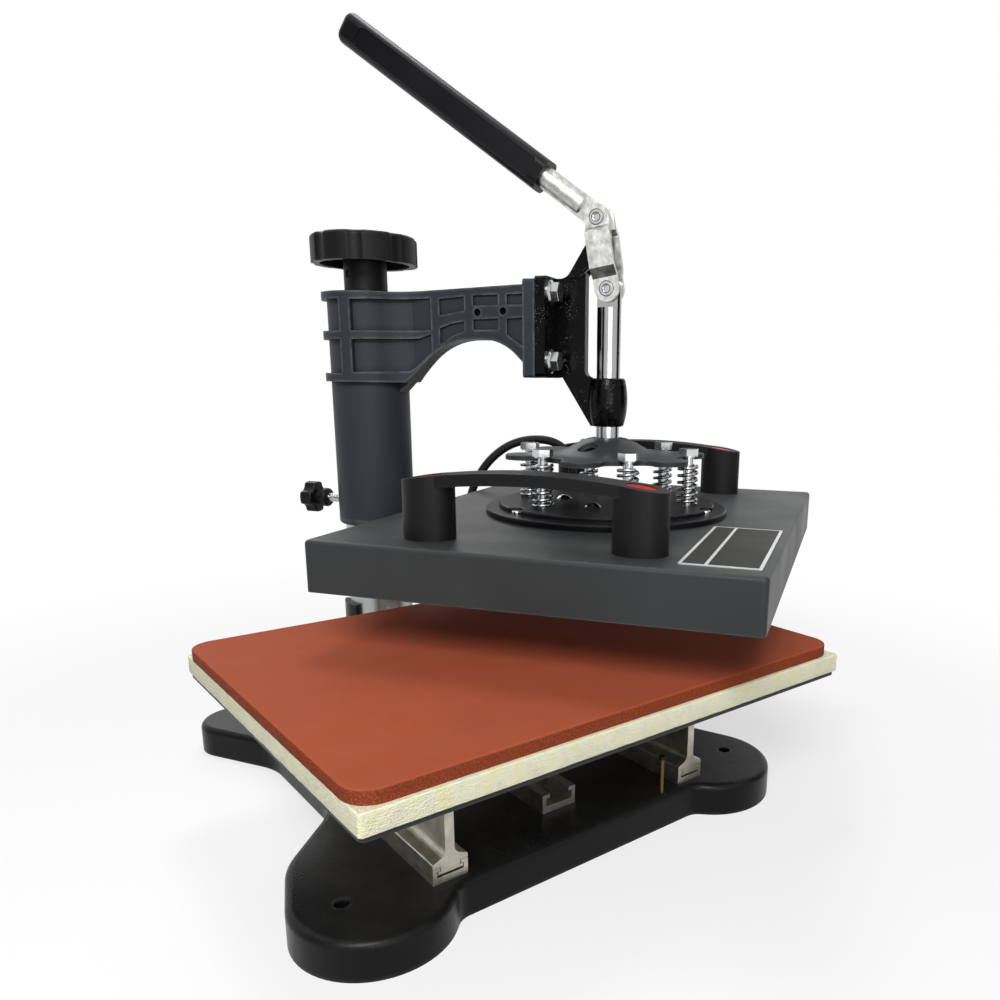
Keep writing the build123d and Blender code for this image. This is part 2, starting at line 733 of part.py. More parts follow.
def swing_arm():
    """Cast arm: tube over the post, ribbed slab with an arch under it, and the flange at its end."""
    ribs = arm_shell(TUBE_R + BAND_OUT, SLAB_HALF)
    for points in arm_pockets():
        ribs -= side_plate(polygon(points), -80, 80)
    core = arm_shell(TUBE_R, SLAB_HALF - SLAB_POCKET)
    gusset = side_plate(arm_web_face(), -GUSSET_HALF, GUSSET_HALF)
    tube = disc(TUBE_R, TUBE_BOTTOM, TUBE_TOP)
    tube = fillet(tube.edges().group_by(Axis.Z)[0], TUBE_EDGE_R)
    flange = arm_block(ARM_END, FLANGE_FRONT, -FLANGE_HALF, FLANGE_HALF, *FLANGE_Z)
    flange = fillet(flange.edges().filter_by(Axis.Y), 3)
    body = ribs + core + gusset + tube + flange
    tip_r, root_r = LOCK_BOSS_R
    boss = Cone(tip_r, root_r, -LOCK_BOSS_S - POST_R - 1, align=UP)
    body += Pos(0, -LOCK_BOSS_S, LOCK_Z) * Rot(90, 0, 0) * boss
    body -= disc(ARM_BORE_R, TUBE_BOTTOM - 1, TUBE_ROOF)
    body -= disc(ARM_BORE_R + RING_T, TUBE_BOTTOM - 1, RING_Z[1] + PASS_GAP)
    body -= disc(ARM_BORE_R + RING_T + CLIP_BITE, RING_Z[0] - SEAT_GAP - CLIP_T, RING_Z[0] - SEAT_GAP)
    body -= disc(JOURNAL_R + RUN_FIT, TUBE_ROOF - 1, TUBE_TOP + 1)
    body -= long_rod(0, LOCK_Z, LOCK_STUD_R + RUN_FIT, LOCK_BOSS_S - 1, -POST_R + 6)
    for s, z in SIDE_HOLES:
        for side in (1, -1):
            near = side * (SLAB_HALF - SIDE_HOLE_DEPTH)
            far = side * (SLAB_HALF + 5)
            body -= cross_rod(s, z, SIDE_HOLE_R, min(near, far), max(near, far))
    for w, z in flange_bolt_places():
        body -= long_rod(w, z, FLANGE_BOLT_R + SCREW_FIT, ARM_END + 1, FLANGE_FRONT + 1)
    return body


def flange_bolt_places():
    """The four bolts of the bracket, as w and z."""
    return [(side * FLANGE_BOLT_W, z) for z in FLANGE_BOLT_Z for side in (-1, 1)]


def ring_clip():
    """Spring clip that keeps the keyed ring in the arm."""
    high = RING_Z[0] - SEAT_GAP
    outer = ARM_BORE_R + RING_T + CLIP_BITE - RUN_FIT
    body = disc(outer, high - CLIP_T, high) - disc(POST_R + 1, high - 10, high + 1)
    return body - arm_block(0, 2 * TUBE_R, -7, 7, high - 10, high + 1)


def thrust_bearing():
    """Flat thrust bearing on which the arm hangs from the lift screw's collar."""
    body = disc(BEARING_R, COLLAR_TOP, TUBE_ROOF) - disc(JOURNAL_R + PASS_GAP, COLLAR_TOP - 1, TUBE_TOP)
    middle = (COLLAR_TOP + TUBE_ROOF) / 2
    groove = disc(BEARING_R + 1, middle - 0.5, middle + 0.5) - disc(BEARING_R - 1, middle - 1, middle + 1)
    return body - groove


def top_washer():
    """Bronze washer between the arm and the hand wheel's stem."""
    return disc(STEM_R - 3, TUBE_TOP, STEM_Z[0]) - disc(JOURNAL_R + PASS_GAP, TUBE_TOP - 1, STEM_Z[0] + 1)


def lift_screw():
    """Screw with a collar under the arm's roof and a journal through it."""
    body = disc(LIFT_SCREW_R, POST_TOP - NUT_DEPTH - 50, COLLAR_TOP)
    body += disc(COLLAR_R, COLLAR_TOP - COLLAR_T, COLLAR_TOP)
    body += disc(JOURNAL_R, COLLAR_TOP, STEM_Z[0])
    body += disc(8, STEM_Z[0], WHEEL_TOP - WHEEL_RIM_T)
    return body


def handwheel():
    """Lobed hand wheel with a deep hollow underneath and a long hub."""
    plan = Circle(WHEEL_R)
    groove = WHEEL_R + WHEEL_GROOVE_R - WHEEL_GROOVE_DEPTH
    for i in range(WHEEL_LOBES):
        x, y = turned(360 / WHEEL_LOBES * (i + 0.5))
        plan -= Pos(groove * x, groove * y) * Circle(WHEEL_GROOVE_R)
    plan = fillet(plan.vertices(), 2.5)
    body = Pos(0, 0, STEM_Z[1]) * extrude(plan, WHEEL_TOP - STEM_Z[1])
    body = fillet(body.edges().group_by(Axis.Z)[-1], 3.5)
    hollow = disc(WHEEL_R - WHEEL_WALL - WHEEL_GROOVE_DEPTH, STEM_Z[1] - 1, WHEEL_TOP - WHEEL_RIM_T) - disc(STEM_R, 0, WHEEL_TOP)
    body -= hollow
    for i in range(6):
        rib = block(STEM_R - 2, WHEEL_R - WHEEL_WALL, -1.5, 1.5, STEM_Z[1] + 8, WHEEL_TOP - WHEEL_RIM_T + 1)
        body += Rot(0, 0, 60 * i) * rib
    body += disc(STEM_R, STEM_Z[0], STEM_Z[1] + 1)
    body -= disc(8 + SCREW_FIT, STEM_Z[0] - 1, WHEEL_TOP - WHEEL_RIM_T)
    body -= set_screw_hole(3.2)
    return body


def set_screw_hole(radius):
    """Bore through the stem's side, towards the arm's left."""
    return cross_rod(-STEM_R * 0.35, STEM_Z[0] + 12, radius, 7, STEM_R + 2) & disc(STEM_R + 2, 300, 500)


def stem_set_screw():
    """Grub screw that keys the hand wheel to the lift screw."""
    return cross_rod(-STEM_R * 0.35, STEM_Z[0] + 12, 3.2 - SCREW_FIT, 9, STEM_R - 4)


def lock_pad():
    """Brass pad that the lock knob presses on the post."""
    return long_rod(0, LOCK_Z, LOCK_STUD_R - 0.1, -POST_R - 0.1 - LOCK_PAD_T, -POST_R - 0.1)


def lock_stud():
    """Bright threaded stud of the lock knob."""
    return long_rod(0, LOCK_Z, LOCK_STUD_R, LOCK_END_S + 6, -POST_R - 0.2 - LOCK_PAD_T)


def lock_knob():
    """Star knob with a round collar."""
    plan = Circle(LOCK_HEAD_R)
    for i in range(LOCK_LOBES):
        x, y = turned(360 / LOCK_LOBES * (i + 0.5))
        plan -= Pos((LOCK_HEAD_R + 4) * x, (LOCK_HEAD_R + 4) * y) * Circle(7)
    plan = fillet(plan.vertices(), 2)
    head = extrude(plan, LOCK_HEAD_S - LOCK_END_S)
    head = fillet(head.edges().group_by(Axis.Z)[0] + head.edges().group_by(Axis.Z)[-1], 1.8)
    near, far = LOCK_COLLAR_S
    collar = disc(LOCK_COLLAR_R, far - LOCK_END_S, near - LOCK_END_S)
    collar = fillet(collar.edges().filter_by(GeomType.CIRCLE), 2.4)
    body = head + disc(LOCK_NECK_R, 0, far - LOCK_END_S + 1) + collar
    body -= disc(LOCK_STUD_R + SCREW_FIT, 6, 40)
    return Pos(0, -LOCK_END_S, LOCK_Z) * Rot(90, 0, 0) * body


def head_bracket():
    """Black bracket: bolted flange, thin web, guide boss for the plunger and two ears for the lever."""
    low, high = BRACKET_Z
    flange = arm_block(FLANGE_FRONT, BRACKET_FRONT, -FLANGE_HALF, FLANGE_HALF, low, high)
    flange = fillet(flange.edges().filter_by(Axis.Y), 4)
    front = BRACKET_WEB_FRONT
    boss_low, boss_high = BOSS_Z
    ear_root = PIN_B[1] + EAR_R * 0.45
    web = polygon([
        (FLANGE_FRONT + 1, high), (BRACKET_FRONT + 8, high), (front, ear_root), (front, boss_high),
        (PLUNGER_S, boss_high), (PLUNGER_S, boss_low), (PLUNGER_S - 13, boss_low),
        (BRACKET_FRONT + 5, low), (FLANGE_FRONT + 1, low),
    ])
    web = round_at(web, [(front, boss_high)], 6)
    web = round_at(web, [(BRACKET_FRONT + 8, high)], 10)
    body = flange + side_plate(web, -BRACKET_WEB_HALF, BRACKET_WEB_HALF)
    ear = make_hull(
        (Pos(*PIN_B) * Circle(EAR_R)).edges()
        + polygon([(BRACKET_FRONT + 10, high), (196, high), (198.5, 410)]).edges()
    )
    ears = side_plate(ear, -EAR_OUT, EAR_OUT)
    ears -= arm_block(front - 0.2, PLUNGER_S + 30, -EAR_IN, EAR_IN, high - 20, high + 60)
    body += ears
    middle = (boss_low + boss_high) / 2 + 4
    outline = Polyline((PLUNGER_S, boss_low), (PLUNGER_S + BOSS_R_BOTTOM, boss_low))
    outline += ThreePointArc(
        (PLUNGER_S + BOSS_R_BOTTOM, boss_low),
        (PLUNGER_S + BOSS_R_MAX, middle),
        (PLUNGER_S + BOSS_R_TOP, boss_high),
    )
    outline += Polyline((PLUNGER_S + BOSS_R_TOP, boss_high), (PLUNGER_S, boss_high), (PLUNGER_S, boss_low))
    axis = Axis((0, -PLUNGER_S, 0), (0, 0, 1))
    boss = revolve(ARM_SIDE * make_face(outline), axis)
    boss = chamfer(boss.edges().filter_by(GeomType.CIRCLE), 1)
    body += boss
    body -= arm_disc(PLUNGER_S, 0, ROD_R + RUN_FIT, boss_low - 1, boss_high + 1)
    body -= cross_rod(PIN_B[0], PIN_B[1], PIN_R + SCREW_FIT, -20, 20)
    for w, z in flange_bolt_places():
        body -= long_rod(w, z, FLANGE_BOLT_R + PASS_GAP, FLANGE_FRONT - 1, BRACKET_FRONT + 1)
    return body


def bracket_bolts():
    """Flanged hexagon bolts that hold the bracket to the arm."""
    shank = disc(FLANGE_BOLT_R, -FLANGE_T - BRACKET_FLANGE_T + 2, 0)
    head = disc(9.4, 0, 1.6) + Pos(0, 0, 1.6) * Cone(9.2, 7.6, 1.2, align=UP)
    head += fillet(hexagon(14, 1.6, 8.6).edges().group_by(Axis.Z)[-1], 0.8)
    bolt = shank + head
    return group([Pos(-w, -BRACKET_FRONT, z) * Rot(90, 0, 0) * bolt for w, z in flange_bolt_places()])


def cupped_pin(s, z, half):
    """Riveted pin with a cup in each end."""
    pin = cross_rod(s, z, PIN_R, -half, half)
    for side in (1, -1):
        near = side * (half - PIN_CUP_DEPTH)
        far = side * (half + 1)
        pin -= cross_rod(s, z, PIN_CUP_R, min(near, far), max(near, far))
    return pin


def lever_pivot_pin():
    """Pin across the bracket's ears that the lever turns on."""
    return cross_rod(PIN_B[0], PIN_B[1], PIN_R, -EAR_OUT, EAR_OUT)


def link_pin():
    """Pin between the lever and the two link plates."""
    return cupped_pin(PIN_A[0], PIN_A[1], LINK_IN + LINK_T + PIN_PROUD)


def link_rivets():
    """The two ends of the plunger's pin, one in each link plate."""
    outer = LINK_IN + LINK_T + PIN_PROUD
    ends = cupped_pin(PIN_P[0], PIN_P[1], outer)
    ends -= cross_rod(PIN_P[0], PIN_P[1], PIN_R + 1, -LINK_IN, LINK_IN)
    return group([ends])


def link_plates():
    """Two pressed plates, joggled outwards where they pass the bracket's ears."""
    slope_a = LINK_BEND_A[1] - LINK_BEND_A[0]
    slope_p = LINK_BEND_P[1] - LINK_BEND_P[0]
    shift_a = LINK_T * math.tan(math.atan2(LINK_JOGGLE, slope_a) / 2)
    shift_p = LINK_T * math.tan(math.atan2(LINK_JOGGLE, slope_p) / 2)
    inner = [
        (-LINK_R - 1, LINK_IN),
        (LINK_BEND_A[0], LINK_IN),
        (LINK_BEND_A[1], LINK_IN + LINK_JOGGLE),
        (LINK_LENGTH - LINK_BEND_P[1], LINK_IN + LINK_JOGGLE),
        (LINK_LENGTH - LINK_BEND_P[0], LINK_IN),
        (LINK_LENGTH + LINK_R + 1, LINK_IN),
    ]
    moves = (0, -shift_a, -shift_a, shift_p, shift_p, 0)
    outer = [(t + move, w + LINK_T) for (t, w), move in zip(inner, moves)]
    band = polygon(inner + outer[::-1])
    angle = math.degrees(math.atan2(PIN_P[1] - PIN_A[1], PIN_P[0] - PIN_A[0]))
    flat = Pos(LINK_LENGTH / 2, 0) * SlotCenterToCenter(LINK_LENGTH, 2 * LINK_R)
    for t in (0.0, LINK_LENGTH):
        flat -= Pos(t, 0) * Circle(PIN_R + RUN_FIT)
    outline = side_plate(Pos(*PIN_A) * Rot(0, 0, angle) * flat, -20, 20)
    along = turned(angle)
    plane = Plane(origin=(0, -PIN_A[0], PIN_A[1]), x_dir=(0, -along[0], along[1]), z_dir=(0, along[1], along[0]))
    pressed = extrude(plane * band, amount=LINK_R + 1, both=True)
    near = outline & pressed
    return group([near, mirror(near, about=Plane.YZ)])


def lever_bar():
    """Lever: round bar with a flattened, cranked end."""
    up = turned(180 - LEVER_RISE)
    root = (PIN_A[0] + LEVER_FLAT * up[0], PIN_A[1] + LEVER_FLAT * up[1])
    crank = make_hull(
        (Pos(*PIN_A) * Circle(LEVER_HUB_R)).edges() + (Pos(*PIN_B) * Circle(CRANK_HUB_R)).edges()
    )
    flat = make_hull((Pos(*PIN_A) * Circle(LEVER_HUB_R)).edges() + (Pos(*root) * Circle(LEVER_BAR_R)).edges())
    body = side_plate(crank + flat, -LEVER_HALF, LEVER_HALF)
    direction = (0, -up[0], up[1])
    start = (0, -(PIN_A[0] + 15 * up[0]), PIN_A[1] + 15 * up[1])
    bar = extrude(Plane(origin=start, z_dir=direction) * Circle(LEVER_BAR_R), LEVER_BAR_END - 15)
    bar = chamfer(bar.edges().filter_by(GeomType.CIRCLE), 1.5)
    body += bar
    for s, z in (PIN_A, PIN_B):
        body -= cross_rod(s, z, PIN_R + RUN_FIT, -20, 20)
    return body


def lever_grip():
    """Moulded grip of rounded square section, with a shallow panel along each side."""
    up = turned(180 - LEVER_RISE)
    direction = (0, -up[0], up[1])

    def station(t):
        """Plane square to the lever, t from the link pin, with its x axis across the arm."""
        origin = (0, -(PIN_A[0] + t * up[0]), PIN_A[1] + t * up[1])
        return Plane(origin=origin, x_dir=(-1, 0, 0), z_dir=direction)

    sizes = ((GRIP_FROM, 12.0, 12.3), (GRIP_TO, 11.6, 12.0))
    sections = [RectangleRounded(2 * across, 2 * thick, GRIP_CORNER_R) for _, across, thick in sizes]
    body = loft([station(size[0]) * section for size, section in zip(sizes, sections)])
    body = fillet(max(body.faces(), key=lambda f: f.center().Z).edges(), 6)
    panel_from, panel_to, panel_h, panel_depth = GRIP_PANEL
    middle = (panel_from + panel_to) / 2
    panel = RectangleRounded(panel_to - panel_from, panel_h, 5)
    panel = Pos(PIN_A[0] + middle * up[0], PIN_A[1] + middle * up[1]) * Rot(0, 0, 180 - LEVER_RISE) * panel
    floor = sizes[-1][1] - panel_depth
    body -= side_plate(panel, floor, floor + 5) + side_plate(panel, -floor - 5, -floor)
    body -= extrude(station(GRIP_FROM - 1) * Circle(LEVER_BAR_R + SCREW_FIT), LEVER_BAR_END - GRIP_FROM + 1)
    return body


def plunger_rod():
    """Chromed plunger: a flat tang for the links above and a threaded shank below."""
    body = arm_disc(PLUNGER_S, 0, ROD_R, DOME_TOP, PIN_P[1] + ROD_R)
    body += arm_disc(PLUNGER_S, 0, ROD_SHANK_R, DOME_TOP - SPIDER_T - ROD_NUT_T, DOME_TOP)
    tall = ROD_SHOULDER_Z, PIN_P[1] + 2 * ROD_R
    for side in (1, -1):
        near, far = sorted((side * TANG_HALF, side * 2 * ROD_R))
        body -= arm_block(PLUNGER_S - 20, PLUNGER_S + 20, near, far, *tall)
    crown = Pos(*PIN_P) * (Rectangle(4 * ROD_R, 4 * ROD_R) - Circle(ROD_R))
    crown -= Pos(PIN_P[0], PIN_P[1] - 2 * ROD_R) * Rectangle(8 * ROD_R, 4 * ROD_R)
    body -= side_plate(crown, -20, 20)
    return body - cross_rod(PIN_P[0], PIN_P[1], PIN_R + SCREW_FIT, -20, 20)


def plunger_pin():
    """Middle of the pin, fast in the plunger's tang."""
    return cross_rod(PIN_P[0], PIN_P[1], PIN_R, -TANG_HALF, TANG_HALF)


def plunger_nut():
    """Nut that holds the spider on the plunger."""
    high = DOME_TOP - DOME_WALL
    body = hexagon(ROD_NUT_AF, high - ROD_NUT_T, high) - disc(ROD_SHANK_R + SCREW_FIT, 0, high + 1)
    return Pos(0, -PLUNGER_S, 0) * body


def spider():
    """Pressed spider: lobed rim and a bell-shaped middle, with one bolt hole in each lobe."""
    rim_top = SPIDER_Z + SPIDER_T
    plan = Circle(SPIDER_RIM_R)
    notches = []
    for i in range(BOLT_COUNT):
        x, y = turned(i * 360 / BOLT_COUNT)
        plan += Pos(BOLT_RING * x, BOLT_RING * y) * Circle(SPIDER_LOBE_R)
    notches = [v for v in plan.vertices() if math.hypot(v.X, v.Y) < SPIDER_RIM_R + 1]
    plan = fillet(notches, 9)
    plate = Pos(0, 0, SPIDER_Z) * extrude(plan, SPIDER_T)
    plate = fillet(plate.edges().group_by(Axis.Z)[-1], 1.2)

    def bell(drop, shrink):
        """Bell under the outer surface, moved down and inwards."""
        foot = DOME_FOOT_R - shrink
        line = Polyline((0, SPIDER_Z - drop), (foot, SPIDER_Z - drop), (foot, rim_top - drop))
        line += Spline(
            (foot, rim_top - drop),
            (foot * 0.6, rim_top - drop + (DOME_TOP - rim_top) * 0.45),
            (DOME_TOP_R, DOME_TOP - drop),
            tangents=((-1, 0.05), (-1, 0.12)),
        )
        line += Polyline((DOME_TOP_R, DOME_TOP - drop), (0, DOME_TOP - drop), (0, SPIDER_Z - drop))
        return revolve(Plane.XZ * make_face(line), Axis.Z)

    body = plate + bell(0, 0)
    body -= bell(DOME_WALL, 3)
    body = Pos(0, -PLUNGER_S, 0) * body
    for s, w in bolt_places():
        body -= arm_disc(s, w, BOLT_R + PASS_GAP, SPIDER_Z - 1, DOME_TOP)
    body -= arm_disc(PLUNGER_S, 0, ROD_SHANK_R + RUN_FIT, SPIDER_Z, DOME_TOP + 1)
    hole = Pos(-27, -PLUNGER_S + 8, SPIDER_Z - 5) * extrude(Ellipse(6, 8.5), 30)
    return body - hole


def shoulder_bolts():
    """The six bolts that hang the platen from the spider."""
    seat = SPIDER_Z + SPIDER_T + SEAT_GAP
    low = PLATEN_Z + 3
    head = disc(7.2, seat, seat + 1) + hexagon(BOLT_HEAD_AF, seat + 1, seat + BOLT_HEAD_T)
    bolt = disc(BOLT_R, low, seat) + head
    return group([Pos(-w, -s, 0) * bolt for s, w in bolt_places()])


def biarc(start, start_way, finish, finish_way):
    """Two tangent arcs that join two points in given directions."""
    chord = finish - start
    ways = start_way + finish_way
    bend = 2 * (1 - start_way.dot(finish_way))
    along = chord.dot(ways)
    reach = (math.sqrt(along * along + bend * chord.dot(chord)) - along) / bend
    first = start + start_way * reach
    second = finish - finish_way * reach
    middle = (first + second) * 0.5
    return [
        TangentArc(start, middle, tangent=start_way),
        TangentArc(middle, finish, tangent=(second - first).normalized()),
    ]


def spring_height(turn):
    """Height of the wire's centre above the spring's seat after a number of turns."""
    rise = SPIDER_Z - SPRING_Z - SPRING_WIRE - 2 * SEAT_GAP
    open_turns = SPRING_TURNS - 2
    pitch = (rise - 2 * SPRING_END_PITCH) / open_turns
    height = SEAT_GAP + SPRING_WIRE / 2 + SPRING_END_PITCH * min(turn, 1)
    height += pitch * min(max(turn - 1, 0), open_turns)
    return height + SPRING_END_PITCH * max(turn - SPRING_TURNS + 1, 0)


def spring_point(turn):
    """Point on the spring's centre line."""
    x, y = turned(360 * turn)
    return Vector(SPRING_R * x, SPRING_R * y, spring_height(turn))


def spring_way(turn):
    """Direction of the spring's centre line."""
    step = 0.125
    low = max(turn - step, 0)
    high = min(turn + step, SPRING_TURNS)
    x, y = turned(360 * turn + 90)
    slope = (spring_height(high) - spring_height(low)) / ((high - low) * 2 * math.pi * SPRING_R)
    return Vector(x, y, slope).normalized()


def wound_spring():
    """One compression spring with closed ends, swept along quarter-turn biarcs."""
    count = round(SPRING_TURNS * 4)
    turns = [SPRING_TURNS * i / count for i in range(count + 1)]
    edges = []
    for here, there in zip(turns, turns[1:]):
        edges += biarc(spring_point(here), spring_way(here), spring_point(there), spring_way(there))
    start = spring_point(0) - spring_way(0) * SPRING_WIRE
    finish = spring_point(SPRING_TURNS) + spring_way(SPRING_TURNS) * SPRING_WIRE
    edges = [Line(start, spring_point(0))] + edges + [Line(spring_point(SPRING_TURNS), finish)]
    path = Wire([edge if isinstance(edge, Edge) else edge.edge() for edge in edges])
    section = Plane(origin=start, z_dir=spring_way(0)) * Circle(SPRING_WIRE / 2)
    return sweep(section, path=path)


def spring_gap():
    """Least gap between the wire and itself, measured on points half a turn or more apart."""
    steps = 48
    count = round(SPRING_TURNS * steps)
    points = [spring_point(SPRING_TURNS * i / count) for i in range(count + 1)]
    least = SPRING_R
    for i, here in enumerate(points):
        for there in points[i + steps // 2:]:
            least = min(least, (there - here).length - SPRING_WIRE)
    return least


def platen_springs():
    """The six springs between the stamped plate and the spider."""
    spring = Pos(0, 0, SPRING_Z) * wound_spring()
    springs = []
    for i, (s, w) in enumerate(bolt_places()):
        springs.append(Pos(-w, -s, 0) * Rot(0, 0, 60 * i) * spring)
    return group(springs)


def platen_rectangle(inset, radius):
    """Plan of the platen, drawn in by an inset."""
    plan = RectangleRounded(PLATEN_W - 2 * inset, PLATEN_L - 2 * inset, radius)
    return Pos(0, -PLUNGER_S) * plan


def handle_screw_places():
    """The four screws of the two handles, as s and w."""
    places = []
    for w in (HANDLE_W, -HANDLE_W):
        for side in (-1, 1):
            places.append((HANDLE_S + side * HANDLE_POST_S, w))
    return places


def disc_screw_places():
    """The screws in the notches of the stamped plate, as s and w."""
    return ring_places(NOTCH_RING - 2, NOTCH_ANGLES)


def dome_screw_places():
    """The dome-head screws of the stamped plate, as s and w."""
    return ring_places(DOME_SCREW_RING, (0, 90, 180, 270))


def platen_cover():
    """Folded sheet cover of the platen, open underneath."""
    low = PLATEN_Z + COVER_LIFT
    body = Pos(0, 0, low) * extrude(platen_rectangle(0, COVER_CORNER_R), PLATEN_TOP - low)
    body = fillet(body.edges().group_by(Axis.Z)[-1], COVER_EDGE_R)
    body -= Pos(0, 0, low - 1) * extrude(platen_rectangle(COVER_T, COVER_CORNER_R - 1), COVER_ROOF - low + 1)
    for s, w in bolt_places():
        body -= arm_disc(s, w, BOLT_R + PASS_GAP, COVER_ROOF - 1, PLATEN_TOP + 1)
    for s, w in handle_screw_places():
        body -= arm_disc(s, w, HANDLE_SCREW_R + RUN_FIT, COVER_ROOF - 1, PLATEN_TOP + 1)
    for s, w in dome_screw_places():
        body -= arm_disc(s, w, DOME_SHANK_R + RUN_FIT, COVER_ROOF - 1, PLATEN_TOP + 1)
    for s, w in disc_screw_places():
        body -= arm_disc(s, w, DISC_SCREW_R / 2 + RUN_FIT, COVER_ROOF - 1, PLATEN_TOP + 1)
    return body - arm_disc(PLUNGER_S + GLAND_S, GLAND_W, 6 + RUN_FIT, COVER_ROOF - 1, PLATEN_TOP + 1)


def heater_plate():
    """Cast aluminium heating plate, drilled for the shoulder bolts."""
    body = Pos(0, 0, PLATEN_Z) * extrude(platen_rectangle(COVER_T + HEATER_GAP, 5), HEATER_T)
    body = chamfer(body.edges().group_by(Axis.Z)[0], 1)
    for s, w in bolt_places():
        body -= arm_disc(s, w, BOLT_R + SCREW_FIT, PLATEN_Z + 3, HEATER_TOP + 1)
    return body


def heater_element():
    """Tubular heating element, bent into a serpentine on the heating plate."""
    z = HEATER_TOP + ELEMENT_R
    reach = PLATEN_W / 2 - 35
    rows = [-125.0, -50.0, 50.0, 125.0]
    points = []
    for i, row in enumerate(rows):
        ends = (-reach, reach) if i % 2 == 0 else (reach, -reach)
        points += [(ends[0], -PLUNGER_S + row, z), (ends[1], -PLUNGER_S + row, z)]
    path = FilletPolyline(*points, radius=25)
    return sweep(Plane(origin=path @ 0, z_dir=path % 0) * Circle(ELEMENT_R), path=path)


def insulation_board():
    """Board of insulation between the heating element and the cover."""
    low = HEATER_TOP + 2 * ELEMENT_R
    body = Pos(0, 0, low) * extrude(platen_rectangle(COVER_T + 3, 5), COVER_ROOF - low)
    for s, w in bolt_places():
        body -= arm_disc(s, w, BOLT_R + 1, low - 1, COVER_ROOF + 1)
    for s, w in handle_screw_places() + dome_screw_places() + disc_screw_places():
        body -= arm_disc(s, w, 7, low - 1, COVER_ROOF + 1)
    s, w = thermostat_place()
    body -= arm_disc(s, w, 10, low - 1, COVER_ROOF + 1)
    return body - arm_disc(PLUNGER_S + GLAND_S, GLAND_W, 13, low - 1, COVER_ROOF + 1)


def thermostat_place():
    """Place of the thermostat on the heating plate, as s and w."""
    return (PLUNGER_S + 5.0, 5.0)


def thermostat():
    """Snap-disc thermostat on the heating plate."""
    s, w = thermostat_place()
    body = arm_disc(s, w, 8, HEATER_TOP, HEATER_TOP + 9)
    return fillet(body.edges().group_by(Axis.Z)[-1], 1.5)


def base_disc():
    """Round reinforcing disc on the cover."""
    body = disc(DISC_R, DISC_Z, STAMP_Z)
    body = fillet(body.edges().group_by(Axis.Z)[-1], 1.5)
    body = Pos(0, -PLUNGER_S, 0) * body
    for s, w in bolt_places():
        body -= arm_disc(s, w, BOLT_R + PASS_GAP, DISC_Z - 1, STAMP_Z + 1)
    for s, w in dome_screw_places():
        body -= arm_disc(s, w, DOME_SHANK_R + RUN_FIT, DISC_Z - 1, STAMP_Z + 1)
    for s, w in disc_screw_places():
        body -= arm_disc(s, w, DISC_SCREW_R / 2 + RUN_FIT, DISC_Z - 1, STAMP_Z + 1)
    return body


def stamped_plate():
    """Stamped plate on the disc, with a notch at each of the disc's screws."""
    plan = Circle(STAMP_R)
    for angle in NOTCH_ANGLES:
        x, y = turned(angle)
        plan -= Pos(-NOTCH_RING * y, -NOTCH_RING * x) * Circle(NOTCH_R)
    plan = fillet([v for v in plan.vertices() if math.hypot(v.X, v.Y) > STAMP_R - 1], 3)
    body = Pos(0, 0, STAMP_Z) * extrude(plan, STAMP_T)
    body = fillet(body.edges().group_by(Axis.Z)[-1], 1.4)
    body = Pos(0, -PLUNGER_S, 0) * body
    for s, w in bolt_places():
        body -= arm_disc(s, w, BOLT_R + PASS_GAP, STAMP_Z - 1, SPRING_Z + 1)
    for s, w in dome_screw_places():
        body -= arm_disc(s, w, DOME_SHANK_R + RUN_FIT, STAMP_Z - 1, SPRING_Z + 1)
    return body


def dome_screws():
    """Chromed dome-head screws through the stamped plate, the disc and the cover."""
    dome_r = (DOME_SCREW_R**2 + DOME_SCREW_H**2) / (2 * DOME_SCREW_H)
    head = Pos(0, 0, SPRING_Z + DOME_SCREW_H - dome_r) * Sphere(dome_r)
    head &= disc(DOME_SCREW_R, SPRING_Z, SPRING_Z + DOME_SCREW_H + 1)
    screw = head + disc(DOME_SHANK_R, COVER_ROOF - 6, SPRING_Z + 0.5)
    return group([Pos(-w, -s, 0) * screw for s, w in dome_screw_places()])


def disc_screws():
    """Small chromed screws that hold the disc, in the stamped plate's notches."""
    head = disc(DISC_SCREW_R + 1, STAMP_Z, STAMP_Z + 2.4)
    head = fillet(head.edges().group_by(Axis.Z)[-1], 1)
    screw = head + disc(DISC_SCREW_R / 2, COVER_ROOF - 4, STAMP_Z)
    return group([Pos(-w, -s, 0) * screw for s, w in disc_screw_places()])


def handle_arc(crown, reach):
    """Arc of a handle's back, parallel to the one through its crown and shoulders."""
    half = HANDLE_POST_S + POST_HALF_S
    rise = HANDLE_CROWN - HANDLE_SHOULDER
    radius = (half**2 + rise**2) / (2 * rise) - (HANDLE_CROWN - crown)
    end = crown - radius + math.sqrt(radius**2 - reach**2)
    return (HANDLE_S - reach, end), (HANDLE_S, crown), (HANDLE_S + reach, end)


def plug_place(side):
    """Place on a handle's back over a post, and the slope there in degrees."""
    half = HANDLE_POST_S + POST_HALF_S
    rise = HANDLE_CROWN - HANDLE_SHOULDER
    radius = (half**2 + rise**2) / (2 * rise)
    top = HANDLE_CROWN - radius + math.sqrt(radius**2 - HANDLE_POST_S**2)
    return HANDLE_S + side * HANDLE_POST_S, top, side * math.degrees(math.asin(HANDLE_POST_S / radius))


def plug_shape(side, w, grow, top_lift, depth):
    """Oval plug, or the seat cut for it, square to the handle's back."""
    s, z, slope = plug_place(side)
    oval = extrude(Ellipse(PLUG_R_W + grow, PLUG_R_S + grow), -depth)
    return Pos(-w, -s, z) * Rot(slope, 0, 0) * Pos(0, 0, top_lift) * oval


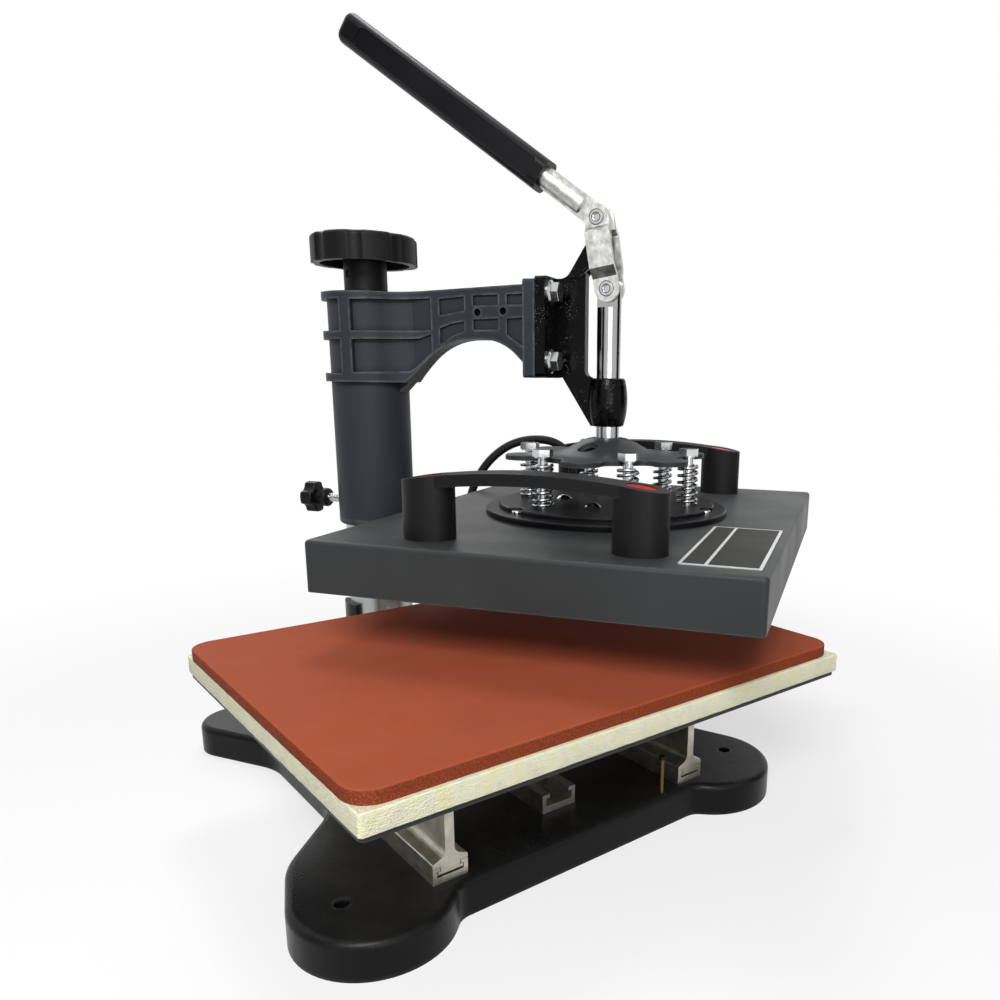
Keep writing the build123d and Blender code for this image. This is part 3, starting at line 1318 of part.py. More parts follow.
def handle(w):
    """Bow handle: two oval posts and a narrower strap between them, arched in one sweep."""
    half = HANDLE_POST_S + POST_HALF_S
    top = handle_arc(HANDLE_CROWN, half)
    under = handle_arc(HANDLE_CROWN - HANDLE_BAR_T, HANDLE_POST_S)
    outline = ThreePointArc(*top)
    outline += Polyline(top[2], (top[2][0], PLATEN_TOP), (top[0][0], PLATEN_TOP), top[0])
    posts = side_plate(make_face(outline), w - POST_HALF_W, w + POST_HALF_W)
    plan = Sketch()
    for side in (-1, 1):
        plan += Pos(-w, -HANDLE_S - side * HANDLE_POST_S) * Ellipse(POST_HALF_W, POST_HALF_S)
    posts &= Pos(0, 0, PLATEN_TOP) * extrude(plan, HANDLE_CROWN)
    over = handle_arc(HANDLE_CROWN, HANDLE_POST_S)
    band = ThreePointArc(*over) + Line(over[2], under[2]) + ThreePointArc(*under) + Line(under[0], over[0])
    bow = posts + side_plate(make_face(band), w - HANDLE_BAR_HALF, w + HANDLE_BAR_HALF)
    for side in (-1, 1):
        s = HANDLE_S + side * HANDLE_POST_S
        bow -= plug_shape(side, w, 0.1, 5, 5 + PLUG_SINK + PLUG_T)
        bow -= arm_disc(s, w, HANDLE_SCREW_HEAD_R + PASS_GAP, HANDLE_SCREW_HEAD_Z, HANDLE_CROWN)
        bow -= arm_disc(s, w, HANDLE_SCREW_R + RUN_FIT, PLATEN_TOP - 1, HANDLE_SCREW_HEAD_Z + 1)
    return bow


def handle_plugs():
    """Red oval plugs over the handles' screws."""
    plugs = []
    for w in (HANDLE_W, -HANDLE_W):
        for side in (-1, 1):
            plugs.append(plug_shape(side, w, 0, -PLUG_SINK, PLUG_T - SEAT_GAP))
    return group(plugs)


def handle_screws():
    """Cap screws down the handles' posts, with nuts under the cover."""
    high = HANDLE_SCREW_HEAD_Z + HANDLE_SCREW_HEAD_T
    screw = disc(HANDLE_SCREW_R, COVER_ROOF - 7, HANDLE_SCREW_HEAD_Z)
    screw += disc(HANDLE_SCREW_HEAD_R, HANDLE_SCREW_HEAD_Z, high)
    screw -= hexagon(6, high - 4, high + 1)
    screw += hexagon(11, COVER_ROOF - 6, COVER_ROOF)
    return group([Pos(-w, -s, 0) * screw for s, w in handle_screw_places()])


def label_plate():
    """Thin bare plate on the cover's front corner."""
    near, far = LABEL_S
    body = arm_block(PLUNGER_S + near, PLUNGER_S + far, *LABEL_W, PLATEN_TOP, PLATEN_TOP + LABEL_T)
    return fillet(body.edges().filter_by(Axis.Z), 1)


def cable_gland():
    """Gland in the cover's top that the heater lead comes out of."""
    bore = CORD_D / 2
    start = CORD_ROUTE[0][2]
    body = hexagon(GLAND_AF, PLATEN_TOP, PLATEN_TOP + GLAND_NUT_T)
    body += Pos(0, 0, PLATEN_TOP + GLAND_NUT_T) * Cone(8.5, 6.5, start - PLATEN_TOP - GLAND_NUT_T, align=UP)
    body += disc(6, COVER_ROOF - 5, PLATEN_TOP) + hexagon(17, COVER_ROOF - 5, COVER_ROOF)
    body -= disc(bore - 1, COVER_ROOF - 6, PLATEN_TOP + 4)
    return Pos(-GLAND_W, -PLUNGER_S - GLAND_S, 0) * body


def cord_points():
    """The heater lead's route as points in the arm's frame."""
    return [Vector(-w, -(PLUNGER_S + s), z) for s, w, z in CORD_ROUTE]


def cord_radii():
    """Arc radius at each corner of the route: as large as its two runs allow."""
    points = cord_points()
    radii = []
    for before, here, after in zip(points, points[1:], points[2:]):
        turn = math.radians((here - before).get_angle(after - here))
        shorter = min((here - before).length, (after - here).length)
        radii.append(0.45 * shorter / math.tan(turn / 2))
    return radii


def heater_lead():
    """The heater lead: straight runs joined by tangent arcs."""
    path = FilletPolyline(*cord_points(), radius=cord_radii())
    lead = sweep(Plane(origin=path @ 0, z_dir=path % 0) * Circle(CORD_D / 2), path=path)
    section = math.pi * CORD_D**2 / 4
    print("heater lead: length", round(path.length, 1), "volume over section times length",
          round(lead.volume / (section * path.length), 4))
    print("heater lead: radii", [round(radius, 1) for radius in cord_radii()])
    return lead


def lead_plug():
    """Round connector on the lead's end: strain relief, body, locking ring and pins."""
    s, w, top = CORD_ROUTE[-1]
    low = top - PLUG_LENGTH
    body = Pos(0, 0, top - 14) * Cone(PLUG_R - 1, CORD_D / 2 + 0.8, 14, align=UP)
    body += disc(PLUG_R - 1, low + 14, top - 14)
    ring = disc(PLUG_R + 1, low + 2, low + 14)
    ring = fillet(ring.edges().filter_by(GeomType.CIRCLE), 1.2)
    body += ring
    body += disc(PLUG_R - 2, low, low + 3)
    body -= disc(PLUG_R - 3.5, low - 1, low + 8)
    for i in range(4):
        x, y = turned(90 * i + 45)
        body += disc(1.1, low + 1.5, low + 9, 3 * x, 3 * y)
    return Pos(-w, -PLUNGER_S - s, 0) * body


def stand_pieces():
    """Pieces of the stand and the table, in the machine's frame."""
    pieces = {
        "base_casting": base_casting,
        "column_socket": column_socket,
        "socket_bolts": socket_bolts,
        "column_post": column_post,
        "lift_nut": lift_nut,
        "channel_screws": channel_screws,
        "travel_stud": travel_stud,
        "stud_cap": stud_cap,
        "table_plate": table_plate,
        "rail_screws": rail_screws,
        "felt_board": felt_board,
        "silicone_pad": silicone_pad,
        "keyed_ring": keyed_ring,
    }
    for name, x, size, front, back in channels():
        rail_front = front if x else MID_RAIL_FRONT
        pieces["channel_" + name] = lambda x=x, size=size, a=front, b=back: channel(x, size, a, b)
        pieces["table_rail_" + name] = lambda x=x, size=size, a=rail_front: table_rail(x, size, a, RAIL_BACK)
    return pieces


def arm_pieces():
    """Pieces of the swinging side, in the arm's frame."""
    return {
        "swing_arm": swing_arm,
        "ring_clip": ring_clip,
        "thrust_bearing": thrust_bearing,
        "top_washer": top_washer,
        "lift_screw": lift_screw,
        "handwheel": handwheel,
        "stem_set_screw": stem_set_screw,
        "lock_pad": lock_pad,
        "lock_stud": lock_stud,
        "lock_knob": lock_knob,
        "head_bracket": head_bracket,
        "bracket_bolts": bracket_bolts,
        "lever_pivot_pin": lever_pivot_pin,
        "link_pin": link_pin,
        "link_plates": link_plates,
        "link_rivets": link_rivets,
        "lever_bar": lever_bar,
        "lever_grip": lever_grip,
        "plunger_rod": plunger_rod,
        "plunger_pin": plunger_pin,
        "plunger_nut": plunger_nut,
        "spider": spider,
        "shoulder_bolts": shoulder_bolts,
        "platen_springs": platen_springs,
        "platen_cover": platen_cover,
        "heater_plate": heater_plate,
        "heater_element": heater_element,
        "insulation_board": insulation_board,
        "thermostat": thermostat,
        "base_disc": base_disc,
        "stamped_plate": stamped_plate,
        "dome_screws": dome_screws,
        "disc_screws": disc_screws,
        "handle_left": lambda: handle(HANDLE_W),
        "handle_right": lambda: handle(-HANDLE_W),
        "handle_plugs": handle_plugs,
        "handle_screws": handle_screws,
        "label_plate": label_plate,
        "cable_gland": cable_gland,
        "heater_lead": heater_lead,
        "lead_plug": lead_plug,
    }


def main():
    """Builds every piece and writes one file for each."""
    os.makedirs("parts", exist_ok=True)
    for name, build in stand_pieces().items():
        export_step(build(), f"parts/{name}.step")
    for name, build in arm_pieces().items():
        export_step(ARM_PLACE * build(), f"parts/{name}.step")
    print("springs: least gap of the wire to itself", round(spring_gap(), 2))
    print("toggle: fixed pivot at s, z", round(PIN_B[0], 2), round(PIN_B[1], 2))


main()
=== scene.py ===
"""Looks of a swing-away sublimation heat press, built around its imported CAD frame."""

import logging
import math
from dataclasses import dataclass, field
from enum import Enum

import bmesh
import bpy
from mathutils import Matrix, Vector, noise


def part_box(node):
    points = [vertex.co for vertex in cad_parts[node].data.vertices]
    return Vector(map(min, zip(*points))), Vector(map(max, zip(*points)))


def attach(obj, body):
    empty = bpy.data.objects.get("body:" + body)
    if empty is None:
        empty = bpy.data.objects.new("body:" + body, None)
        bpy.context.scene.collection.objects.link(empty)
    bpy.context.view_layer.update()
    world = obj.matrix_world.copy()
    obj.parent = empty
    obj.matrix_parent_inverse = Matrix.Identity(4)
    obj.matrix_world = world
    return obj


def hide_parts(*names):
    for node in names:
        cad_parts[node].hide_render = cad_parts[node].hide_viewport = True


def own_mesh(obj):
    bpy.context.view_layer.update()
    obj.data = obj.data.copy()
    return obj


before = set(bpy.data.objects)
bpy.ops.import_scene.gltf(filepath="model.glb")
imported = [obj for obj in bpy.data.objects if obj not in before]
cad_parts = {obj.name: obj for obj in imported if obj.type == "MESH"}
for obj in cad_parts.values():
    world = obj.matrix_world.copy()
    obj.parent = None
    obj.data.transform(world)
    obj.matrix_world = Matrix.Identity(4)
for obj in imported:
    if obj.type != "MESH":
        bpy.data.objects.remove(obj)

LOG = logging.getLogger("heat_press")
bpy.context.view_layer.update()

MM = 0.001
COLUMN_Y = 0.125
SWING_REST = math.radians(33.0)
PLUNGER_S = 0.218
RING_STEPS = 40
RING_SIDES = 8

Colour = tuple[int, int, int]
Triple = tuple[float, float, float]


def linear(colour: Colour) -> tuple[float, float, float, float]:
    """Turn a display colour into the renderer's linear values.

    Args:
        colour: Red, green and blue from 0 to 255, as a screen shows them.

    Returns:
        Red, green, blue and alpha from 0 to 1.
    """
    parts = [c / 255 for c in colour]
    flat = [c / 12.92 if c <= 0.04045 else ((c + 0.055) / 1.055) ** 2.4 for c in parts]
    return (flat[0], flat[1], flat[2], 1.0)


def arm_point(s: float, w: float, z: float) -> Vector:
    """Place a point that is given in the swing arm's own frame.

    Args:
        s: Distance from the column axis along the arm, in metres.
        w: Distance towards the arm's left side, in metres.
        z: Height in metres.

    Returns:
        The point in the machine's frame, at rest.
    """
    along = Vector((math.sin(SWING_REST), -math.cos(SWING_REST), 0.0))
    across = Vector((-math.cos(SWING_REST), -math.sin(SWING_REST), 0.0))
    return Vector((0.0, COLUMN_Y, z)) + along * s + across * w


class Brushing(Enum):
    """Directions that machining or drawing lines run in, as a stretch of the texture's axes."""

    TURNED = (1.0, 1.0, 60.0)
    ALONG_Y = (60.0, 1.0, 60.0)
    EXTRUDED = (14.0, 1.0, 14.0)
    EVEN = (1.0, 1.0, 1.0)


class Effects:
    """Shader node groups that more than one finish uses.

    Attributes:
        RAYS: Rays that the edge and corner masks take at each point.
        FINER: How much finer the second layer of grain is.
        FINE_SHARE: Height of that layer against the first.
        EDGE_GAIN: How fast the edge mask reaches full strength.
        PATCH_GAIN: How sharply the edge mask is broken up.
        PATCH_FROM: The noise value at which a patch of it starts.
        DUST_POWER: How flat a face has to lie to hold dust.
        SHADE_PATCH_SCALE: Patches per metre of the painted shade in recesses.
        SHADE_BASE: Painted shade that every recess holds, whatever its patch.
    """

    RAYS = 6
    FINER = 3.1
    FINE_SHARE = 0.35
    EDGE_GAIN = 2.2
    PATCH_GAIN = 3.0
    PATCH_FROM = 0.25
    DUST_POWER = 3.0
    SHADE_PATCH_SCALE = 90.0
    SHADE_BASE = 0.5

    def __init__(self) -> None:
        """Build every group once."""
        self.grain = self._grain()
        self.lines = self._lines()
        self.wear_and_highlight = self._wear_and_highlight()
        self.dust = self._dust()
        self.recess_shade = self._recess_shade()

    @staticmethod
    def _tree(name: str, inputs: dict[str, float], outputs: tuple[str, ...]) -> bpy.types.NodeTree:
        """Start a group with number sockets.

        Args:
            name: The group's name.
            inputs: Input names with their default values.
            outputs: Output names.

        Returns:
            The new node tree, with its input and output nodes in place.
        """
        tree = bpy.data.node_groups.new(name, "ShaderNodeTree")
        for label, value in inputs.items():
            socket = tree.interface.new_socket(label, in_out="INPUT", socket_type="NodeSocketFloat")
            socket.default_value = value
        for label in outputs:
            tree.interface.new_socket(label, in_out="OUTPUT", socket_type="NodeSocketFloat")
        tree.nodes.new("NodeGroupInput").name = "in"
        tree.nodes.new("NodeGroupOutput").name = "out"
        return tree

    @staticmethod
    def _math(tree: bpy.types.NodeTree, operation: str, *values: object) -> bpy.types.NodeSocket:
        """Add a math node.

        Args:
            tree: The tree to add it to.
            operation: Blender's name of the operation.
            values: Numbers or output sockets for its inputs, in order.

        Returns:
            The node's output socket.
        """
        node = tree.nodes.new("ShaderNodeMath")
        node.operation = operation
        for socket, value in zip(node.inputs, values):
            if isinstance(value, bpy.types.NodeSocket):
                tree.links.new(value, socket)
            else:
                socket.default_value = value
        return node.outputs[0]

    def _noise(
        self, tree: bpy.types.NodeTree, scale: object, detail: float, vector: object = None
    ) -> bpy.types.NodeSocket:
        """Add a noise texture in the piece's own coordinates.

        Args:
            tree: The tree to add it to.
            scale: Features per metre, as a number or a socket.
            detail: Octaves of finer noise.
            vector: Coordinates to use in place of the piece's own.

        Returns:
            The noise value's socket.
        """
        if vector is None:
            vector = tree.nodes.new("ShaderNodeTexCoord").outputs["Object"]
        texture = tree.nodes.new("ShaderNodeTexNoise")
        texture.inputs["Detail"].default_value = detail
        tree.links.new(vector, texture.inputs["Vector"])
        if isinstance(scale, bpy.types.NodeSocket):
            tree.links.new(scale, texture.inputs["Scale"])
        else:
            texture.inputs["Scale"].default_value = scale
        return texture.outputs[0]

    def _grain(self) -> bpy.types.NodeTree:
        """Make the fine grain of paint, castings and mouldings, with its slow change of tone.

        Returns:
            The group's node tree.
        """
        tree = self._tree("fine_grain", {"Scale": 900.0, "Tone Scale": 14.0}, ("Height", "Tone"))
        given, out = tree.nodes["in"], tree.nodes["out"]
        coarse = self._noise(tree, given.outputs["Scale"], 3.0)
        finer = self._math(tree, "MULTIPLY", given.outputs["Scale"], self.FINER)
        fine = self._noise(tree, finer, 1.0)
        height = self._math(tree, "ADD", coarse, self._math(tree, "MULTIPLY", fine, self.FINE_SHARE))
        tree.links.new(height, out.inputs["Height"])
        tree.links.new(self._noise(tree, given.outputs["Tone Scale"], 4.0), out.inputs["Tone"])
        return tree

    def _lines(self) -> bpy.types.NodeTree:
        """Make drawn or machined lines: noise that is stretched along one direction.

        Returns:
            The group's node tree.
        """
        inputs = {"Scale": 60.0, "Tone Scale": 25.0, "Stretch X": 1.0, "Stretch Y": 1.0, "Stretch Z": 1.0}
        tree = self._tree("machined_lines", inputs, ("Height", "Tone"))
        given, out = tree.nodes["in"], tree.nodes["out"]
        stretch = tree.nodes.new("ShaderNodeCombineXYZ")
        for axis in "XYZ":
            tree.links.new(given.outputs[f"Stretch {axis}"], stretch.inputs[axis])
        scaled = tree.nodes.new("ShaderNodeVectorMath")
        scaled.operation = "MULTIPLY"
        place = tree.nodes.new("ShaderNodeTexCoord")
        tree.links.new(place.outputs["Object"], scaled.inputs[0])
        tree.links.new(stretch.outputs[0], scaled.inputs[1])
        lines = self._noise(tree, given.outputs["Scale"], 5.0, scaled.outputs[0])
        tree.links.new(lines, out.inputs["Height"])
        tree.links.new(self._noise(tree, given.outputs["Tone Scale"], 4.0), out.inputs["Tone"])
        return tree

    def _wear_and_highlight(self) -> bpy.types.NodeTree:
        """Make a mask of the sharp edges, broken up so that it isn't an even line; it lightens edges, partly
        as wear and partly as painted highlight.

        Returns:
            The group's node tree.
        """
        tree = self._tree("edge_wear_and_highlight", {"Width": 0.0012, "Breakup": 120.0}, ("Mask",))
        given, out = tree.nodes["in"], tree.nodes["out"]
        within = tree.nodes.new("ShaderNodeAmbientOcclusion")
        within.samples = self.RAYS
        within.inside = True
        within.only_local = True
        tree.links.new(given.outputs["Width"], within.inputs["Distance"])
        thin = self._math(tree, "SUBTRACT", 1.0, within.outputs["AO"])
        edge = self._math(tree, "MULTIPLY", thin, self.EDGE_GAIN)
        patches = self._noise(tree, given.outputs["Breakup"], 3.0)
        patchy = self._math(tree, "SUBTRACT", patches, self.PATCH_FROM)
        mask = self._math(tree, "MULTIPLY", edge, self._math(tree, "MULTIPLY", patchy, self.PATCH_GAIN))
        clamp = tree.nodes.new("ShaderNodeClamp")
        tree.links.new(mask, clamp.inputs["Value"])
        tree.links.new(clamp.outputs[0], out.inputs["Mask"])
        return tree

    def _dust(self) -> bpy.types.NodeTree:
        """Make a mask of the light dust that lies on faces that look up.

        Returns:
            The group's node tree.
        """
        tree = self._tree("settled_dust", {"Amount": 0.1, "Scale": 60.0}, ("Mask",))
        given, out = tree.nodes["in"], tree.nodes["out"]
        split = tree.nodes.new("ShaderNodeSeparateXYZ")
        tree.links.new(tree.nodes.new("ShaderNodeNewGeometry").outputs["Normal"], split.inputs[0])
        up = self._math(tree, "POWER", self._math(tree, "MAXIMUM", split.outputs["Z"], 0.0), self.DUST_POWER)
        cloud = self._noise(tree, given.outputs["Scale"], 6.0)
        mask = self._math(tree, "MULTIPLY", up, self._math(tree, "MULTIPLY", cloud, given.outputs["Amount"]))
        tree.links.new(mask, out.inputs["Mask"])
        return tree

    def _recess_shade(self) -> bpy.types.NodeTree:
        """Make a mask of inner corners and recesses, for shade painted into the colour there.

        Returns:
            The group's node tree.
        """
        tree = self._tree("painted_recess_shade", {"Reach": 0.006}, ("Mask",))
        given, out = tree.nodes["in"], tree.nodes["out"]
        # Painted shade: occlusion by nearby surfaces, broken into patches, becomes a darkening mask.
        open_sky = tree.nodes.new("ShaderNodeAmbientOcclusion")
        open_sky.samples = self.RAYS
        tree.links.new(given.outputs["Reach"], open_sky.inputs["Distance"])
        shut = self._math(tree, "SUBTRACT", 1.0, open_sky.outputs["AO"])
        patchy = self._math(tree, "ADD", self._noise(tree, self.SHADE_PATCH_SCALE, 3.0), self.SHADE_BASE)
        clamp = tree.nodes.new("ShaderNodeClamp")
        tree.links.new(self._math(tree, "MULTIPLY", shut, patchy), clamp.inputs["Value"])
        tree.links.new(clamp.outputs[0], out.inputs["Mask"])
        return tree


class Surface:
    """One material's node tree, with short calls that add to it."""

    def __init__(self, name: str, effects: Effects) -> None:
        """Start a material that holds only a Principled shader.

        Args:
            name: The material's name.
            effects: The shared node groups.
        """
        self.effects = effects
        self.material = bpy.data.materials.new(name)
        self.material.use_nodes = True
        self.tree = self.material.node_tree
        self.shader = self.tree.nodes["Principled BSDF"]

    def set(self, **values: object) -> None:
        """Set constants on the shader's own sockets; an underscore stands for a space."""
        for label, value in values.items():
            self.shader.inputs[label.replace("_", " ")].default_value = value

    def feed(self, label: str, source: bpy.types.NodeSocket) -> None:
        """Link a changing value to one of the shader's sockets."""
        self.tree.links.new(source, self.shader.inputs[label])

    def group(self, tree: bpy.types.NodeTree, **values: float) -> bpy.types.Node:
        """Place a shared group with its own input values; an underscore stands for a space.

        Args:
            tree: The group's node tree.
            values: The values by the names of its inputs.

        Returns:
            The placed node.
        """
        node = self.tree.nodes.new("ShaderNodeGroup")
        node.node_tree = tree
        for label, value in values.items():
            node.inputs[label.replace("_", " ")].default_value = value
        return node

    def mix(self, share: bpy.types.NodeSocket, first: object, second: object) -> bpy.types.NodeSocket:
        """Mix two colours.

        Args:
            share: How much of the second colour there is, from 0 to 1.
            first: A linear colour or a socket.
            second: A linear colour or a socket.

        Returns:
            The mixed colour's socket.
        """
        node = self.tree.nodes.new("ShaderNodeMix")
        node.data_type = "RGBA"
        self.tree.links.new(share, node.inputs["Factor"])
        for socket, value in ((node.inputs[6], first), (node.inputs[7], second)):
            if isinstance(value, bpy.types.NodeSocket):
                self.tree.links.new(value, socket)
            else:
                socket.default_value = value
        return node.outputs[2]

    def spread(
        self, source: bpy.types.NodeSocket, low: float, high: float, start: float = 0.3, end: float = 0.7
    ) -> bpy.types.NodeSocket:
        """Map a texture's value to a range of a setting.

        Args:
            source: The texture's value.
            low: The result at start.
            high: The result at end.
            start: The texture value that gives low.
            end: The texture value that gives high.

        Returns:
            The mapped value's socket.
        """
        node = self.tree.nodes.new("ShaderNodeMapRange")
        self.tree.links.new(source, node.inputs["Value"])
        for label, value in (("From Min", start), ("From Max", end), ("To Min", low), ("To Max", high)):
            node.inputs[label].default_value = value
        return node.outputs[0]

    def bump(self, height: bpy.types.NodeSocket, depth: float) -> None:
        """Raise the surface by a texture, by at most depth metres.

        Args:
            height: The texture's value.
            depth: The greatest rise in metres.
        """
        node = self.tree.nodes.new("ShaderNodeBump")
        node.inputs["Distance"].default_value = depth
        self.tree.links.new(height, node.inputs["Height"])
        self.feed("Normal", node.outputs[0])


def shade(colour: Colour, factor: float) -> tuple[float, float, float, float]:
    """Scale a display colour's linear values by a factor."""
    r, g, b, a = linear(colour)
    return (min(r * factor, 1.0), min(g * factor, 1.0), min(b * factor, 1.0), a)


@dataclass(frozen=True)
class Coating:
    """Paint, powder coat, moulded plastic or rubber.

    Attributes:
        name: The material's name.
        colour: Display colour, from 0 to 255.
        roughness: Mean roughness.
        grain: Grains per metre.
        depth: Height of the grain in metres.
        drift: How far the tone moves, as a share of the colour.
        wear_and_highlight: How much the edges show the lighter edge colour, partly rubbed paint and partly
            painted highlight.
        wear_and_highlight_colour: Display colour of the lighter edges, for rubbed paint and painted
            highlight together.
        wear_and_highlight_width: Width of the lighter edges in metres.
        recess_shade: How much painted shade darkens the inner corners.
        dust: How much dust lies on top.
        gloss: Specular level of the paint.
        dust_colour: Display colour of the dust.
        recess_tone: Tone of the painted shade in the inner corners, as a share of the colour.
        rougher: How far the roughness falls and rises about its mean.
    """

    name: str
    colour: Colour
    roughness: float
    grain: float = 900.0
    depth: float = 0.00006
    drift: float = 0.10
    wear_and_highlight: float = 0.25
    wear_and_highlight_colour: Colour = (104, 106, 110)
    wear_and_highlight_width: float = 0.0012
    recess_shade: float = 0.0
    dust: float = 0.03
    gloss: float = 0.22
    dust_colour: Colour = (196, 192, 186)
    recess_tone: float = 0.15
    rougher: tuple[float, float] = (0.05, 0.06)

    def build(self, effects: Effects) -> bpy.types.Material:
        """Build the material.

        Args:
            effects: The shared node groups.

        Returns:
            The material.
        """
        surface = Surface(self.name, effects)
        grain = surface.group(effects.grain, Scale=self.grain)
        tone = surface.spread(grain.outputs["Tone"], 0.0, 1.0)
        paint = surface.mix(tone, shade(self.colour, 1 - self.drift), shade(self.colour, 1 + self.drift))
        # Lighter edges: partly rubbed paint, partly painted highlight on the edges.
        wear_and_highlight_mask = surface.group(effects.wear_and_highlight, Width=self.wear_and_highlight_width).outputs["Mask"]
        paint = surface.mix(surface.spread(wear_and_highlight_mask, 0.0, self.wear_and_highlight, 0.0, 1.0), paint, linear(self.wear_and_highlight_colour))
        # Painted shade: inner corners and recesses are darkened in the colour itself.
        if self.recess_shade:
            corner = surface.group(effects.recess_shade).outputs["Mask"]
            shaded_paint = shade(self.colour, self.recess_tone)
            paint = surface.mix(surface.spread(corner, 0.0, self.recess_shade, 0.0, 1.0), paint, shaded_paint)
        dust = surface.group(effects.dust, Amount=self.dust).outputs["Mask"]
        surface.feed("Base Color", surface.mix(dust, paint, linear(self.dust_colour)))
        low, high = self.roughness - self.rougher[0], self.roughness + self.rougher[1]
        surface.feed("Roughness", surface.spread(grain.outputs["Tone"], low, high))
        surface.set(Specular_IOR_Level=self.gloss)
        surface.bump(grain.outputs["Height"], self.depth)
        return surface.material


@dataclass(frozen=True)
class Metal:
    """Bare, plated or anodised metal.

    Attributes:
        name: The material's name.
        colour: Display colour, from 0 to 255.
        roughness: Mean roughness.
        brushing: Direction of its machining or drawing lines.
        depth: Height of the lines in metres.
        drift: How far the tone moves, as a share of the colour.
        lines: Lines per metre before the stretch.
        mottle: Patches of tone per metre.
        rougher: Least and greatest roughness, as shares of the mean.
    """

    name: str
    colour: Colour
    roughness: float
    brushing: Brushing = Brushing.EVEN
    depth: float = 0.00002
    drift: float = 0.08
    lines: float = 60.0
    mottle: float = 25.0
    rougher: tuple[float, float] = (0.8, 1.3)

    def build(self, effects: Effects) -> bpy.types.Material:
        """Build the material.

        Args:
            effects: The shared node groups.

        Returns:
            The material.
        """
        surface = Surface(self.name, effects)
        x, y, z = self.brushing.value
        drawn = surface.group(
            effects.lines, Scale=self.lines, Tone_Scale=self.mottle, Stretch_X=x, Stretch_Y=y, Stretch_Z=z
        )
        tone = surface.spread(drawn.outputs["Tone"], 0.0, 1.0)
        metal = surface.mix(tone, shade(self.colour, 1 - self.drift), shade(self.colour, 1 + self.drift))
        surface.feed("Base Color", metal)
        low, high = self.roughness * self.rougher[0], self.roughness * self.rougher[1]
        surface.feed("Roughness", surface.spread(drawn.outputs["Height"], low, high))
        surface.set(Metallic=1.0)
        surface.bump(drawn.outputs["Height"], self.depth)
        return surface.material


@dataclass(frozen=True)
class PaintedGlintCoat:
    """Thick gloss paint over a rough casting, with painted glints: fine bright specks in its colour that
    stand for light caught on the casting's lumps.

    Attributes:
        name: The material's name.
        colour: Display colour of the paint, from 0 to 255.
        roughness: Mean roughness.
        painted_glints: Painted glints per metre.
        glint_edge: Distance from a painted glint's middle at which it starts and ends to fade.
        glint_colour: Display colour of a painted glint.
        ripple: Bumps of the casting per metre.
        patches: Clusters of painted glints per metre.
        patch_edge: Noise values at which a cluster starts and is full.
        depth: Height of the bumps in metres.
    """

    name: str
    colour: Colour
    roughness: float
    painted_glints: float = 680.0
    glint_edge: tuple[float, float] = (0.10, 0.22)
    glint_colour: Colour = (122, 124, 128)
    ripple: float = 260.0
    patches: float = 70.0
    patch_edge: tuple[float, float] = (0.52, 0.60)
    depth: float = 0.0004

    def build(self, effects: Effects) -> bpy.types.Material:
        """Build the material.

        Args:
            effects: The shared node groups.

        Returns:
            The material.
        """
        surface = Surface(self.name, effects)
        place = surface.tree.nodes.new("ShaderNodeTexCoord").outputs["Object"]
        cells = surface.tree.nodes.new("ShaderNodeTexVoronoi")
        cells.inputs["Scale"].default_value = self.painted_glints
        surface.tree.links.new(place, cells.inputs["Vector"])
        ripple = surface.group(effects.grain, Scale=self.ripple, Tone_Scale=self.patches)
        # Painted highlight: bright specks in the base colour stand for glints of light.
        glint = surface.spread(cells.outputs["Distance"], 1.0, 0.0, *self.glint_edge)
        shown = surface.spread(ripple.outputs["Tone"], 0.0, 1.0, *self.patch_edge)
        both = surface.tree.nodes.new("ShaderNodeMath")
        both.operation = "MULTIPLY"
        surface.tree.links.new(glint, both.inputs[0])
        surface.tree.links.new(shown, both.inputs[1])
        paint = surface.mix(both.outputs[0], linear(self.colour), linear(self.glint_colour))
        surface.feed("Base Color", paint)
        low, high = self.roughness - 0.05, self.roughness + 0.08
        surface.feed("Roughness", surface.spread(ripple.outputs["Tone"], low, high))
        surface.set(Coat_Weight=0.06, Coat_Roughness=0.08, Specular_IOR_Level=0.08)
        surface.bump(ripple.outputs["Height"], self.depth)
        return surface.material


